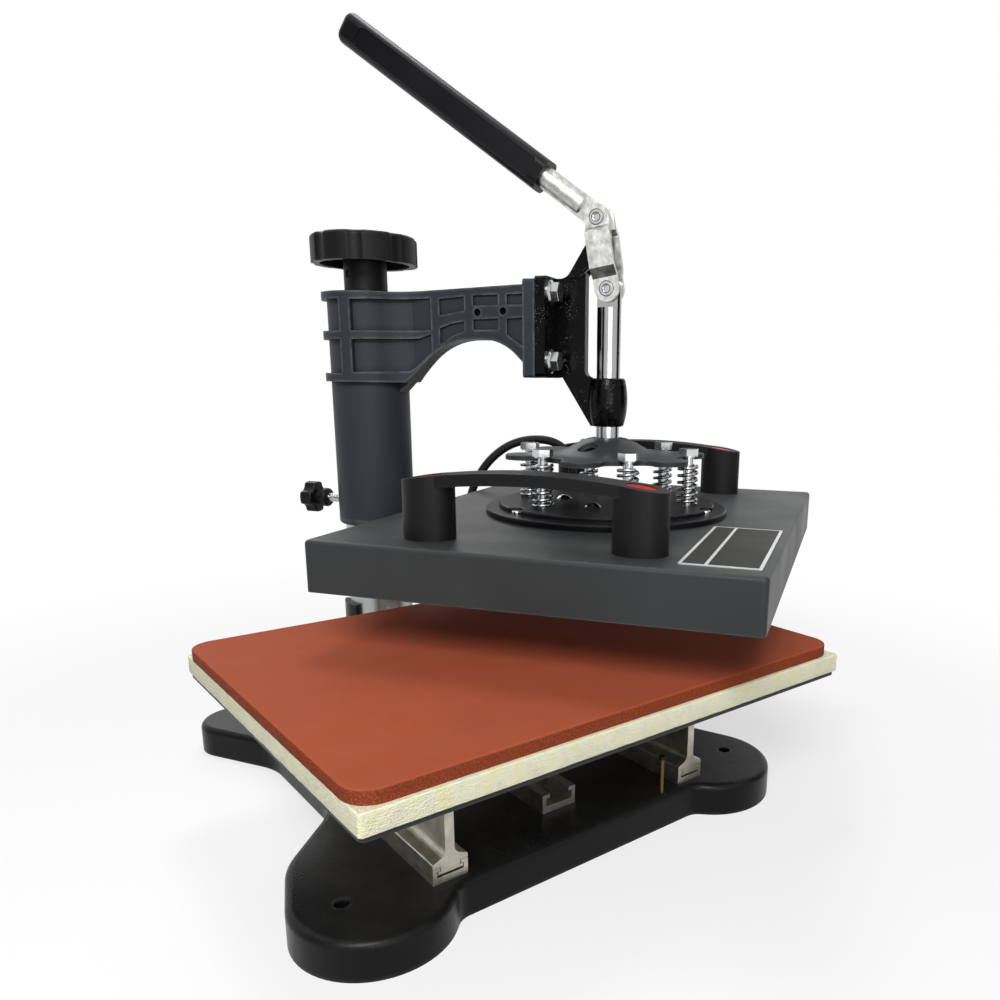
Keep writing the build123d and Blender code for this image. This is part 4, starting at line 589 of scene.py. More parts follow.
@dataclass(frozen=True)
class Felt:
    """Pressed felt: short crossing fibres, pale, with yellow clouds, pits and a soft sheen.

    Attributes:
        name: The material's name.
        colour: Display colour, from 0 to 255.
        tones: Darkest and palest tone, as shares of the colour.
        cloud_colour: Display colour of the yellow clouds.
        cloud_share: How much the clouds show.
        cloud_edge: Noise values at which a cloud starts and is full.
        pit_colour: Display colour of the pits between fibres.
        pit_share: How much the pits show.
        pit_edge: Heights at which a pit is full and ends.
        layers: Layers of fibres per metre.
        flatness: How much flatter than wide a layer's fibres lie.
        fibres: Fibre ends per metre.
        clouds: Clouds per metre.
        depth: Height of the fibres in metres.
    """

    name: str
    colour: Colour
    tones: tuple[float, float] = (0.86, 1.04)
    cloud_colour: Colour = (238, 230, 162)
    cloud_share: float = 0.5
    cloud_edge: tuple[float, float] = (0.50, 0.66)
    pit_colour: Colour = (168, 156, 116)
    pit_share: float = 0.7
    pit_edge: tuple[float, float] = (0.40, 0.50)
    layers: float = 320.0
    flatness: float = 3.2
    fibres: float = 1300.0
    clouds: float = 120.0
    depth: float = 0.0008

    def build(self, effects: Effects) -> bpy.types.Material:
        """Build the material.

        Args:
            effects: The shared node groups.

        Returns:
            The material.
        """
        surface = Surface(self.name, effects)
        layers = surface.group(
            effects.lines, Scale=self.layers, Stretch_X=1.0, Stretch_Y=1.0, Stretch_Z=self.flatness
        )
        fibres = surface.group(effects.grain, Scale=self.fibres, Tone_Scale=self.clouds)
        tone = surface.spread(fibres.outputs["Tone"], 0.0, 1.0, 0.25, 0.75)
        wool = surface.mix(tone, *[shade(self.colour, share) for share in self.tones])
        cloud = surface.spread(fibres.outputs["Tone"], 0.0, self.cloud_share, *self.cloud_edge)
        wool = surface.mix(cloud, wool, linear(self.cloud_colour))
        pit = surface.spread(fibres.outputs["Height"], self.pit_share, 0.0, *self.pit_edge)
        surface.feed("Base Color", surface.mix(pit, wool, linear(self.pit_colour)))
        surface.set(Roughness=0.95, Specular_IOR_Level=0.1, Sheen_Weight=0.15, Sheen_Roughness=0.6)
        total = surface.tree.nodes.new("ShaderNodeMath")
        total.operation = "ADD"
        surface.tree.links.new(layers.outputs["Height"], total.inputs[0])
        surface.tree.links.new(fibres.outputs["Height"], total.inputs[1])
        surface.bump(total.outputs[0], self.depth)
        return surface.material


@dataclass(frozen=True)
class Sponge:
    """Silicone sponge: matt brick red skin with fine closed pores, darker and coarser on its sides, the
    faces that don't look up.

    Attributes:
        name: The material's name.
        colour: Display colour, from 0 to 255.
        pores: Pores per metre.
        clouds: Slow changes of tone per metre.
        tones: Darkest and palest tone, as shares of the colour.
        side_tone: Tone of faces that don't look up, as a share of the colour.
        side_share: How much that tone shows.
        side_edge: How far a face looks up where the side's tone is full and where it ends.
        pit_tone: Tone inside a pore.
        pit_share: How much the pores show.
        pit_edge: Heights at which a pore is full and ends.
        crumb_tone: Tone of the crumbs that stand out of faces that don't look up.
        crumb_edge: Heights at which a crumb starts and is full.
        wear_and_highlight: How much the lighter edges show, partly rubbed wear and partly painted highlight.
        edge_tone: Tone of the lighter edges.
        edge_width: Width of the lighter edges in metres.
        edge_patches: Patches of the lighter edges per metre.
        dust_colour: Display colour of the dust.
        roughness: Least and greatest roughness.
        gloss: Specular level of the skin.
        depth: Depth of the pores in metres.
    """

    name: str
    colour: Colour
    pores: float = 1100.0
    clouds: float = 11.0
    tones: tuple[float, float] = (0.93, 1.06)
    side_tone: float = 0.34
    side_share: float = 0.8
    side_edge: tuple[float, float] = (0.2, 0.75)
    pit_tone: float = 0.62
    pit_share: float = 0.30
    pit_edge: tuple[float, float] = (0.36, 0.50)
    crumb_tone: float = 1.1
    crumb_edge: tuple[float, float] = (0.64, 0.80)
    wear_and_highlight: float = 0.22
    edge_tone: float = 1.5
    edge_width: float = 0.0015
    edge_patches: float = 90.0
    dust_colour: Colour = (206, 178, 166)
    roughness: tuple[float, float] = (0.72, 0.84)
    gloss: float = 0.15
    depth: float = 0.00022

    def build(self, effects: Effects) -> bpy.types.Material:
        """Build the material.

        Args:
            effects: The shared node groups.

        Returns:
            The material.
        """
        surface = Surface(self.name, effects)
        pores = surface.group(effects.grain, Scale=self.pores, Tone_Scale=self.clouds)
        tone = surface.spread(pores.outputs["Tone"], 0.0, 1.0)
        skin = surface.mix(tone, *[shade(self.colour, share) for share in self.tones])
        facing = surface.tree.nodes.new("ShaderNodeSeparateXYZ")
        normal = surface.tree.nodes.new("ShaderNodeNewGeometry").outputs["Normal"]
        surface.tree.links.new(normal, facing.inputs[0])
        # Darker on faces that don't look up, by the face's direction.
        side = surface.spread(facing.outputs["Z"], self.side_share, 0.0, *self.side_edge)
        skin = surface.mix(side, skin, shade(self.colour, self.side_tone))
        pit = surface.spread(pores.outputs["Height"], self.pit_share, 0.0, *self.pit_edge)
        skin = surface.mix(pit, skin, shade(self.colour, self.pit_tone))
        side_crumbs = surface.tree.nodes.new("ShaderNodeMath")
        side_crumbs.operation = "MULTIPLY"
        crumbs = surface.spread(pores.outputs["Height"], 0.0, 1.0, *self.crumb_edge)
        surface.tree.links.new(crumbs, side_crumbs.inputs[0])
        surface.tree.links.new(side, side_crumbs.inputs[1])
        skin = surface.mix(side_crumbs.outputs[0], skin, shade(self.colour, self.crumb_tone))
        # Lighter edges: partly rubbed wear, partly painted highlight.
        wear_and_highlight_mask = surface.group(effects.wear_and_highlight, Width=self.edge_width, Breakup=self.edge_patches).outputs["Mask"]
        lighter_edge = surface.spread(wear_and_highlight_mask, 0.0, self.wear_and_highlight, 0.0, 1.0)
        skin = surface.mix(lighter_edge, skin, shade(self.colour, self.edge_tone))
        dust = surface.group(effects.dust, Amount=0.05, Scale=40.0).outputs["Mask"]
        surface.feed("Base Color", surface.mix(dust, skin, linear(self.dust_colour)))
        surface.feed("Roughness", surface.spread(pores.outputs["Tone"], *self.roughness))
        surface.set(Specular_IOR_Level=self.gloss)
        surface.bump(pores.outputs["Height"], self.depth)
        return surface.material


class Finishes:
    """Every finish of the press, built once and found by name."""

    CATALOGUE = (
        Coating(
            "base_paint", (12, 12, 13), 0.30, grain=420.0, depth=0.00012,
            wear_and_highlight=0.18, wear_and_highlight_width=0.003, gloss=0.13,
        ),
        Coating(
            "arm_paint", (46, 49, 54), 0.46, grain=760.0, depth=0.00012,
            wear_and_highlight=0.60, wear_and_highlight_width=0.0024, recess_shade=1.0, gloss=0.14,
        ),
        Coating(
            "cover_paint", (48, 50, 51), 0.44, grain=1100.0, depth=0.00006,
            wear_and_highlight=0.28, recess_shade=0.5, gloss=0.18,
        ),
        Coating(
            "plate_paint", (44, 46, 48), 0.42, grain=700.0, depth=0.00008,
            wear_and_highlight=0.24, recess_shade=0.6, gloss=0.15,
        ),
        Coating(
            "disc_paint", (14, 15, 18), 0.34, grain=900.0, depth=0.00005,
            wear_and_highlight=0.22, recess_shade=0.6, gloss=0.10,
        ),
        Coating("table_paint", (40, 41, 43), 0.45, grain=900.0, depth=0.00004, wear_and_highlight=0.20),
        Coating(
            "black_plastic", (18, 18, 20), 0.46, grain=1400.0, depth=0.00005,
            wear_and_highlight=0.06, recess_shade=0.4, gloss=0.15,
        ),
        Coating("grip_plastic", (15, 15, 18), 0.30, grain=1800.0, depth=0.00003, wear_and_highlight=0.05, gloss=0.20),
        Coating("plug_red", (196, 34, 24), 0.30, drift=0.05, depth=0.00002, wear_and_highlight=0.0, dust=0.0, gloss=0.4),
        Coating("label_black", (32, 32, 31), 0.50, grain=2000.0, depth=0.00001, wear_and_highlight=0.0, gloss=0.12),
        Coating("lead_sheath", (20, 20, 21), 0.50, grain=1500.0, depth=0.00003, wear_and_highlight=0.0),
        Coating("insulation", (206, 200, 188), 0.95, grain=500.0, depth=0.0003, wear_and_highlight=0.0, dust=0.0),
        PaintedGlintCoat("bracket_paint", (4, 4, 5), 0.18),
        Metal("bright_steel", (194, 195, 196), 0.20, Brushing.EVEN, 0.000006, 0.05),
        Metal("rod_chrome", (168, 169, 168), 0.15, Brushing.TURNED, 0.000004, 0.03),
        Metal("zinc_steel", (150, 152, 156), 0.30, Brushing.EVEN, 0.00002, 0.20, 60.0, 200.0),
        Metal("dark_steel", (58, 58, 60), 0.38, Brushing.EVEN, 0.00002, 0.10),
        Metal("lever_steel", (192, 193, 189), 0.35, Brushing.EVEN, 0.00030, 0.26, 110.0, 240.0),
        Metal("post_steel", (168, 169, 170), 0.30, Brushing.TURNED, 0.00001, 0.06),
        Metal("spring_wire", (164, 166, 169), 0.18, Brushing.EVEN, 0.00001, 0.06),
        Metal("bronze", (156, 122, 74), 0.32, Brushing.TURNED, 0.00001, 0.08),
        Metal("stud_brass", (100, 86, 54), 0.34, Brushing.TURNED, 0.00001, 0.16, 60.0, 300.0),
        Metal("rail_aluminium", (186, 181, 168), 0.36, Brushing.EXTRUDED, 0.00030, 0.26, 90.0, 90.0),
        Metal("heater_aluminium", (170, 171, 173), 0.34, Brushing.ALONG_Y, 0.00001, 0.08),
        Metal("element_steel", (110, 106, 100), 0.45, Brushing.EVEN, 0.00002, 0.12),
        Metal("label_silver", (214, 215, 214), 0.46, Brushing.ALONG_Y, 0.000005, 0.04),
        Felt("felt", (252, 249, 220)),
        Sponge("pad_silicone", (160, 74, 44)),
    )

    def __init__(self) -> None:
        """Build the shared effects and then every material of the catalogue."""
        effects = Effects()
        self._materials = {finish.name: finish.build(effects) for finish in self.CATALOGUE}

    def __getitem__(self, name: str) -> bpy.types.Material:
        """Return the material with that name."""
        return self._materials[name]


@dataclass
class Assembly:
    """What every sub-assembly shares: it dresses its CAD nodes and adds meshes of its own.

    Attributes:
        finishes: Every finish of the press.
    """

    finishes: Finishes

    def dress(self, finish: str, *nodes: str) -> None:
        """Give CAD nodes a finish.

        Args:
            finish: The finish's name.
            nodes: The nodes' names.
        """
        for node in nodes:
            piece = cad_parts[node]
            for material_slot in piece.material_slots:
                material_slot.material = self.finishes[finish]
            LOG.info("dressed %s in %s", node, finish)

    def add(self, mesh: bpy.types.Mesh, body: str, finish: str, slot: str) -> bpy.types.Object:
        """Put a new mesh in the scene as a piece of the press.

        Args:
            mesh: The mesh, in the machine's frame. The piece takes its name.
            body: The CAD body that it rides on.
            finish: The finish's name.
            slot: Not used.

        Returns:
            The new piece.
        """
        piece = bpy.data.objects.new(mesh.name, mesh)
        bpy.context.scene.collection.objects.link(piece)
        mesh.materials.append(self.finishes[finish])
        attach(piece, body)
        LOG.info("added %s to %s", piece.name, body)
        return piece


def mesh_from(shape: bmesh.types.BMesh, name: str, smooth: bool = True) -> bpy.types.Mesh:
    """Turn a bmesh into a mesh with its faces the right way out.

    Args:
        shape: The bmesh, which is freed.
        name: The mesh's name.
        smooth: Whether its faces are shaded smooth.

    Returns:
        The new mesh.
    """
    bmesh.ops.recalc_face_normals(shape, faces=shape.faces)
    for face in shape.faces:
        face.smooth = smooth
    mesh = bpy.data.meshes.new(name)
    shape.to_mesh(mesh)
    shape.free()
    return mesh


def add_ring(shape: bmesh.types.BMesh, centre: Vector, axis: Vector, radius: float, wire: float) -> None:
    """Add a thin ring of round section.

    Args:
        shape: The bmesh that it is added to.
        centre: The ring's centre.
        axis: The direction that it faces.
        radius: Radius of its centre line.
        wire: Radius of its section.
    """
    side = axis.orthogonal().normalized()
    other = axis.normalized().cross(side)
    rings = []
    for i in range(RING_STEPS):
        angle = math.tau * i / RING_STEPS
        out = side * math.cos(angle) + other * math.sin(angle)
        place = centre + out * radius
        section = []
        for j in range(RING_SIDES):
            lean = math.tau * j / RING_SIDES
            corner = place + (out * math.cos(lean) + axis.normalized() * math.sin(lean)) * wire
            section.append(shape.verts.new(corner))
        rings.append(section)
    for here, there in zip(rings, rings[1:] + rings[:1]):
        for j in range(RING_SIDES):
            k = (j + 1) % RING_SIDES
            shape.faces.new((here[j], here[k], there[k], there[j]))


def add_tube(shape: bmesh.types.BMesh, points: list[Vector], radius: float, sides: int) -> None:
    """Sweep a round wire along points, closed at both ends.

    Args:
        shape: The bmesh that it is added to.
        points: The wire's centre line.
        radius: The wire's radius.
        sides: Corners of its section.
    """
    ways = [(b - a).normalized() for a, b in zip(points, points[1:])]
    ways = [ways[0]] + [(a + b).normalized() for a, b in zip(ways, ways[1:])] + [ways[-1]]
    side = ways[0].orthogonal().normalized()
    rings = []
    for point, way in zip(points, ways):
        side = (side - way * side.dot(way)).normalized()
        other = way.cross(side)
        ring = []
        for i in range(sides):
            angle = 2 * math.pi * i / sides
            ring.append(shape.verts.new(point + (side * math.cos(angle) + other * math.sin(angle)) * radius))
        rings.append(ring)
    for here, there in zip(rings, rings[1:]):
        for i in range(sides):
            j = (i + 1) % sides
            shape.faces.new((here[i], here[j], there[j], there[i]))
    shape.faces.new(rings[0][::-1])
    shape.faces.new(rings[-1])


@dataclass
class SoftSlab:
    """Thick sheet with rounded corners and edges, and a surface that isn't quite flat.

    Attributes:
        name: The mesh's name.
        low: Lowest corner in metres.
        high: Highest corner in metres.
        corner: Radius of its corners in plan.
        top_edge: Radius of its top edge.
        bottom_edge: Radius of its bottom edge.
        swell: How far its top rises and falls.
        ragged: How far its sides go in and out.
        cells: Number of cells along each half of a side.
        edge_cells: Number of cells across its rounded edge.
        corner_cells: Number of cells across the rest of a rounded corner.
        swell_from: How far inside the edge its top reaches its full swell.
        rim: How far inside the edge its sides are ragged.
        waves: Waves of its top per metre.
        nibbles: Nibbles out of its sides per metre, along them and up them.
    """

    name: str
    low: Vector
    high: Vector
    corner: float
    top_edge: float
    bottom_edge: float
    swell: float
    ragged: float
    cells: int = 60
    edge_cells: int = 5
    corner_cells: int = 6
    swell_from: float = 0.03
    rim: float = 0.002
    waves: float = 9.0
    nibbles: tuple[float, float] = (160.0, 420.0)

    def _steps(self, half: float) -> list[float]:
        """Return grid lines across half the slab, close together at its edge and in its corner.

        Args:
            half: Half of the slab's width or depth.

        Returns:
            Places from the edge to the middle, as distances from the middle.
        """
        edge = max(self.top_edge, self.bottom_edge)
        fine = [edge * (1 - math.cos(math.pi / 2 * i / self.edge_cells)) for i in range(self.edge_cells + 1)]
        steps = range(1, self.corner_cells + 1)
        round_part = [edge + (self.corner - edge) * i / self.corner_cells for i in steps]
        plain = [self.corner + (half - self.corner) * i / self.cells for i in range(1, self.cells + 1)]
        return [half - inset for inset in fine + round_part + plain]

    def _plan(self, x: float, y: float, half_x: float, half_y: float) -> tuple[float, float]:
        """Pull a grid point in a corner onto the corner's circle.

        Args:
            x: The point's place along x, from the middle.
            y: Its place along y.
            half_x: Half of the slab's width.
            half_y: Half of its depth.

        Returns:
            The point's new x and y.
        """
        dx, dy = abs(x) - (half_x - self.corner), abs(y) - (half_y - self.corner)
        if dx <= 0 or dy <= 0:
            return x, y
        reach = max(dx, dy)
        scale = reach / math.hypot(dx, dy)
        new_x = half_x - self.corner + dx * scale
        new_y = half_y - self.corner + dy * scale
        return math.copysign(new_x, x), math.copysign(new_y, y)

    def build(self) -> bpy.types.Mesh:
        """Build the slab as a top and a bottom grid that share their rim.

        Returns:
            The slab's mesh.
        """
        middle = (self.low + self.high) / 2
        half = (self.high - self.low) / 2
        xs, ys = self._steps(half.x), self._steps(half.y)
        xs = xs + [-x for x in reversed(xs[:-1])]
        ys = ys + [-y for y in reversed(ys[:-1])]
        shape = bmesh.new()
        grids = []
        for top in (True, False):
            radius = self.top_edge if top else self.bottom_edge
            rows = []
            for x in xs:
                row = []
                for y in ys:
                    inset = min(half.x - abs(x), half.y - abs(y))
                    drop = 0.0
                    if inset < radius:
                        drop = radius - math.sqrt(max(radius**2 - (radius - inset) ** 2, 0.0))
                    place_x, place_y = self._plan(x, y, half.x, half.y)
                    z = self.high.z - drop if top else self.low.z + drop
                    place = Vector((middle.x + place_x, middle.y + place_y, z))
                    row.append(shape.verts.new(self._settle(place, middle, inset, top)))
                rows.append(row)
            grids.append(rows)
        for rows in grids:
            for here, there in zip(rows, rows[1:]):
                for i in range(len(ys) - 1):
                    shape.faces.new((here[i], here[i + 1], there[i + 1], there[i]))
        rims = [self._rim(rows) for rows in grids]
        for i in range(len(rims[0])):
            j = (i + 1) % len(rims[0])
            shape.faces.new((rims[0][i], rims[0][j], rims[1][j], rims[1][i]))
        return mesh_from(shape, self.name)

    def _settle(self, place: Vector, middle: Vector, inset: float, top: bool) -> Vector:
        """Move a point by the slab's swell and its sides' raggedness, never past its box.

        Args:
            place: The point, which is changed.
            middle: The slab's middle.
            inset: How far the point lies inside the edge, in plan.
            top: Whether it is on the top.

        Returns:
            The moved point.
        """
        if top and inset > self.top_edge:
            fade = min((inset - self.top_edge) / self.swell_from, 1.0)
            place.z -= self.swell * fade * (0.5 + 0.5 * noise.noise(place * self.waves))
        if inset < self.rim and self.ragged:
            outward = Vector((place.x - middle.x, place.y - middle.y, 0.0)).normalized()
            along, up = self.nibbles
            rough = 0.5 + 0.5 * noise.noise(Vector((place.x * along, place.y * along, place.z * up)))
            place -= outward * self.ragged * rough
        return place

    @staticmethod
    def _rim(rows: list[list[bmesh.types.BMVert]]) -> list[bmesh.types.BMVert]:
        """Return a grid's outline, once round.

        Args:
            rows: The grid's points, row by row.

        Returns:
            The outline's points.
        """
        first, last = rows[0], rows[-1]
        right = [row[-1] for row in rows[1:-1]]
        left = [row[0] for row in rows[1:-1]]
        return first + right + last[::-1] + left[::-1]


@dataclass
class Stand(Assembly):
    """Base casting, column socket, post, slide channels and the brass stud."""

    def build(self) -> None:
        """Dress the stand."""
        self.dress("base_paint", "base_casting", "column_socket")
        self.dress("bright_steel", "socket_bolts")
        self.dress("post_steel", "column_post")
        self.dress("bronze", "lift_nut", "keyed_ring")
        self.dress("rail_aluminium", "channel_left", "channel_centre", "channel_right")
        self.dress("zinc_steel", "channel_screws")
        self.dress("stud_brass", "travel_stud")
        self.dress("black_plastic", "stud_cap")


@dataclass
class Table(Assembly):
    """Rails, steel plate, felt board and the silicone pad.

    Attributes:
        pad_corner: Radius of the pad's corners in plan.
        pad_edge: Radius of its top edge.
        pad_bottom_edge: Radius of its bottom edge.
        pad_swell: How far its top rises and falls.
        pad_ragged: How far its cut sides go in and out.
        felt_corner: Radius of the felt's corners in plan.
        felt_edge: Radius of its edges.
        felt_ragged: How far its cut sides go in and out.
    """

    pad_corner: float = 17 * MM
    pad_edge: float = 0.9 * MM
    pad_bottom_edge: float = 0.8 * MM
    pad_swell: float = 0.5 * MM
    pad_ragged: float = 0.25 * MM
    felt_corner: float = 2.5 * MM
    felt_edge: float = 0.8 * MM
    felt_ragged: float = 0.7 * MM

    def build(self) -> None:
        """Dress the table and model its two soft layers."""
        self.dress("rail_aluminium", "table_rail_left", "table_rail_centre", "table_rail_right")
        self.dress("table_paint", "table_plate")
        self.dress("zinc_steel", "rail_screws")
        low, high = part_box("felt_board")
        felt = SoftSlab(
            "felt_layer", low, high, self.felt_corner, self.felt_edge, self.felt_edge, 0.0, self.felt_ragged
        )
        board = self.add(felt.build(), "table", "felt", "felt")
        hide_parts("felt_board")
        low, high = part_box("silicone_pad")
        pad = SoftSlab(
            "silicone_sheet", low, high, self.pad_corner,
            self.pad_edge, self.pad_bottom_edge, self.pad_swell, self.pad_ragged,
        )
        sheet = self.add(pad.build(), "table", "pad_silicone", "pad_silicone")
        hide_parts("silicone_pad")


@dataclass
class Arm(Assembly):
    """Swing arm, head bracket, hand wheel and lock knob.

    Attributes:
        stud_radius: Radius of the lock knob's stud.
        stud_pitch: Pitch of its thread.
        stud_from: Where the thread starts along the arm, from the column axis.
        stud_to: Where it ends.
        lock_z: Height of the stud.
        thread_rise: How far the thread stands out of the stud.
        thread_root: How deep the thread's wire lies in the stud.
        thread_steps: Points in each turn of the thread.
        thread_sides: Corners of the thread's section.
    """

    stud_radius: float = 3.7 * MM
    stud_pitch: float = 1.5 * MM
    stud_from: float = -49.0 * MM
    stud_to: float = -37.0 * MM
    lock_z: float = 215 * MM
    thread_rise: float = 0.24 * MM
    thread_root: float = 0.1 * MM
    thread_steps: int = 20
    thread_sides: int = 6

    def build(self) -> None:
        """Dress the arm and cut the lock stud's thread."""
        self.dress("arm_paint", "swing_arm")
        self.dress("bracket_paint", "head_bracket")
        self.dress("bright_steel", "bracket_bolts", "lock_stud")
        self.dress("zinc_steel", "ring_clip", "thrust_bearing", "lever_pivot_pin", "lift_screw")
        self.dress("dark_steel", "stem_set_screw", "top_washer")
        self.dress("bronze", "lock_pad")
        self.dress("black_plastic", "handwheel", "lock_knob")
        self.add(self._stud_thread(), "lock", "bright_steel", "bright_steel")

    def _stud_thread(self) -> bpy.types.Mesh:
        """Model the thread of the lock knob's stud as one raised turn after another.

        Returns:
            The thread's mesh.
        """
        count = round((self.stud_to - self.stud_from) / self.stud_pitch * self.thread_steps)
        points = []
        for i in range(count + 1):
            angle = 2 * math.pi * i / self.thread_steps
            s = self.stud_from + (self.stud_to - self.stud_from) * i / count
            reach = self.stud_radius - self.thread_root
            points.append(arm_point(s, reach * math.cos(angle), self.lock_z + reach * math.sin(angle)))
        shape = bmesh.new()
        add_tube(shape, points, self.thread_rise + self.thread_root, self.thread_sides)
        return mesh_from(shape, "lock_stud_thread")


@dataclass
class Toggle(Assembly):
    """Lever, links, plunger and their pins.

    Attributes:
        link_pin: Place of the lever's link pin, as s and z.
        link_length: Distance between the link plates' pins.
        plate_face: How far the link plates' outer faces lie from the middle.
        pin_proud: How far the riveted pins stand out of the plates.
        collar: Radius of the pressed line round each pin.
        cup: Radius of the cup in each pin's end.
        line: Radius of the section of both lines.
    """

    link_pin: tuple[float, float] = (209 * MM, 445.7 * MM)
    link_length: float = 52.8 * MM
    plate_face: float = 9.3 * MM
    pin_proud: float = 0.8 * MM
    collar: float = 5.65 * MM
    cup: float = 3.25 * MM
    line: float = 0.3 * MM

    def build(self) -> None:
        """Dress the toggle and mark the riveted ends of its pins."""
        self.dress("lever_steel", "lever_bar", "link_plates", "plunger_pin")
        self.dress("bright_steel", "link_pin", "link_rivets")
        self.dress("grip_plastic", "lever_grip")
        self.dress("rod_chrome", "plunger_rod")
        self.dress("bright_steel", "plunger_nut")
        self.dress("plate_paint", "spider")
        drop = math.sqrt(self.link_length**2 - (PLUNGER_S - self.link_pin[0]) ** 2)
        plunger_pin = (PLUNGER_S, self.link_pin[1] - drop)
        self._mark("upper_collar_lines", "link", self.link_pin, self.collar, self.plate_face)
        self._mark("lower_collar_lines", "link", plunger_pin, self.collar, self.plate_face)
        face = self.plate_face + self.pin_proud
        self._mark("upper_cup_lines", "lever", self.link_pin, self.cup, face)
        self._mark("lower_cup_lines", "link", plunger_pin, self.cup, face)

    def _mark(self, name: str, body: str, pin: tuple[float, float], radius: float, face: float) -> None:
        """Lay a dark pressed line round both ends of a pin.

        Args:
            name: The piece's name.
            body: The body that it rides on.
            pin: The pin's place, as s and z.
            radius: The line's radius.
            face: How far its faces lie from the middle.
        """
        shape = bmesh.new()
        axis = arm_point(0.0, 1.0, 0.0) - arm_point(0.0, 0.0, 0.0)
        for side in (1, -1):
            add_ring(shape, arm_point(pin[0], side * face, pin[1]), axis, radius, self.line)
        self.add(mesh_from(shape, name), body, "dark_steel", "zinc_steel")


@dataclass
class Platen(Assembly):
    """Sprung platen: bolts, springs, discs, cover, heater, handles and the bare plate.

    Attributes:
        bolt_ring: Radius of the circle of sprung bolts.
        bolt_count: Number of sprung bolts.
        spring_radius: Radius of a spring's centre line.
        wire: Diameter of the spring's wire.
        turns: Turns of a spring, its closed end turns among them.
        end_pitch: Pitch of the two closed turns.
        spring_low: Height of the springs' seat.
        spring_high: Height of the springs' top.
        float_travel: How far the platen moves up against the springs; not used.
        label_s: Near and far edge of the bare plate along the arm, from the plunger.
        label_w: Its two edges across the arm.
        label_divider: Where its two panels part, from the plunger.
        label_border: Width of its bright border.
        panel_rise: Thickness of its two panels.
        spring_steps: Points in each turn of a spring.
        wire_sides: Corners of the wire's section.
        springs: The springs that were wound.
    """

    bolt_ring: float = 68 * MM
    bolt_count: int = 6
    spring_radius: float = 7.3 * MM
    wire: float = 2.6 * MM
    turns: float = 6.75
    end_pitch: float = 3.15 * MM
    spring_low: float = 227.2 * MM
    spring_high: float = 261.8 * MM
    float_travel: float = 8 * MM
    label_s: tuple[float, float] = (98 * MM, 149 * MM)
    label_w: tuple[float, float] = (42 * MM, 178 * MM)
    label_divider: float = 115 * MM
    label_border: float = 2.2 * MM
    panel_rise: float = 0.08 * MM
    spring_steps: int = 36
    wire_sides: int = 14
    springs: list[bpy.types.Object] = field(default_factory=list)

    def build(self) -> None:
        """Dress the platen, wind its springs and lay the two bare panels on its plate."""
        self.dress("cover_paint", "platen_cover")
        self.dress("disc_paint", "base_disc", "stamped_plate")
        self.dress("bright_steel", "shoulder_bolts", "dome_screws", "disc_screws")
        self.dress("heater_aluminium", "heater_plate")
        self.dress("element_steel", "heater_element")
        self.dress("insulation", "insulation_board")
        self.dress("zinc_steel", "thermostat", "handle_screws", "cable_gland")
        self.dress("black_plastic", "handle_left", "handle_right")
        self.dress("plug_red", "handle_plugs")
        self.dress("label_silver", "label_plate")
        self._wind_springs()
        self._lay_panels()

    def _spring_points(self, start: float) -> list[Vector]:
        """Return a spring's centre line about its own axis.

        Args:
            start: The angle at which its wire begins.

        Returns:
            Points from its lower to its upper end.
        """
        rise = self.spring_high - self.spring_low - self.wire
        pitch = (rise - 2 * self.end_pitch) / (self.turns - 2)
        points = []
        for i in range(round(self.turns * self.spring_steps) + 1):
            turn = i / self.spring_steps
            z = self.spring_low + self.wire / 2 + self.end_pitch * min(turn, 1.0)
            z += pitch * min(max(turn - 1.0, 0.0), self.turns - 2)
            z += self.end_pitch * max(turn - self.turns + 1.0, 0.0)
            angle = start + 2 * math.pi * turn
            x, y = self.spring_radius * math.cos(angle), self.spring_radius * math.sin(angle)
            points.append(Vector((x, y, z)))
        return points

    def _wind_springs(self) -> None:
        """Wind the six springs."""
        for i in range(self.bolt_count):
            angle = 2 * math.pi * i / self.bolt_count
            s = PLUNGER_S + self.bolt_ring * math.cos(angle)
            centre = arm_point(s, self.bolt_ring * math.sin(angle), 0.0)
            shape = bmesh.new()
            points = [point + centre for point in self._spring_points(angle + SWING_REST - math.pi / 2)]
            add_tube(shape, points, self.wire / 2, self.wire_sides)
            mesh = mesh_from(shape, f"platen_spring_{i + 1}")
            spring = self.add(mesh, "platen", "spring_wire", "spring_steel")
            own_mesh(spring)
            self.springs.append(spring)
        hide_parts("platen_springs")

    def _lay_panels(self) -> None:
        """Lay two bare black panels on the bright plate, inside its border."""
        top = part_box("label_plate")[1].z
        near, far = self.label_s
        edge = self.label_border
        for name, first, last in (
            ("label_panel_small", near + edge, self.label_divider - edge / 2),
            ("label_panel_large", self.label_divider + edge / 2, far - edge),
        ):
            shape = bmesh.new()
            corners = []
            for z in (top, top + self.panel_rise):
                for s, w in (
                    (first, self.label_w[0] + edge), (last, self.label_w[0] + edge),
                    (last, self.label_w[1] - edge), (first, self.label_w[1] - edge),
                ):
                    corners.append(shape.verts.new(arm_point(PLUNGER_S + s, w, z)))
            shape.faces.new(corners[4:])
            shape.faces.new(corners[:4])
            for i in range(4):
                j = (i + 1) % 4
                shape.faces.new((corners[i], corners[j], corners[4 + j], corners[4 + i]))
            self.add(mesh_from(shape, name, smooth=False), "platen", "label_black", "label_black")


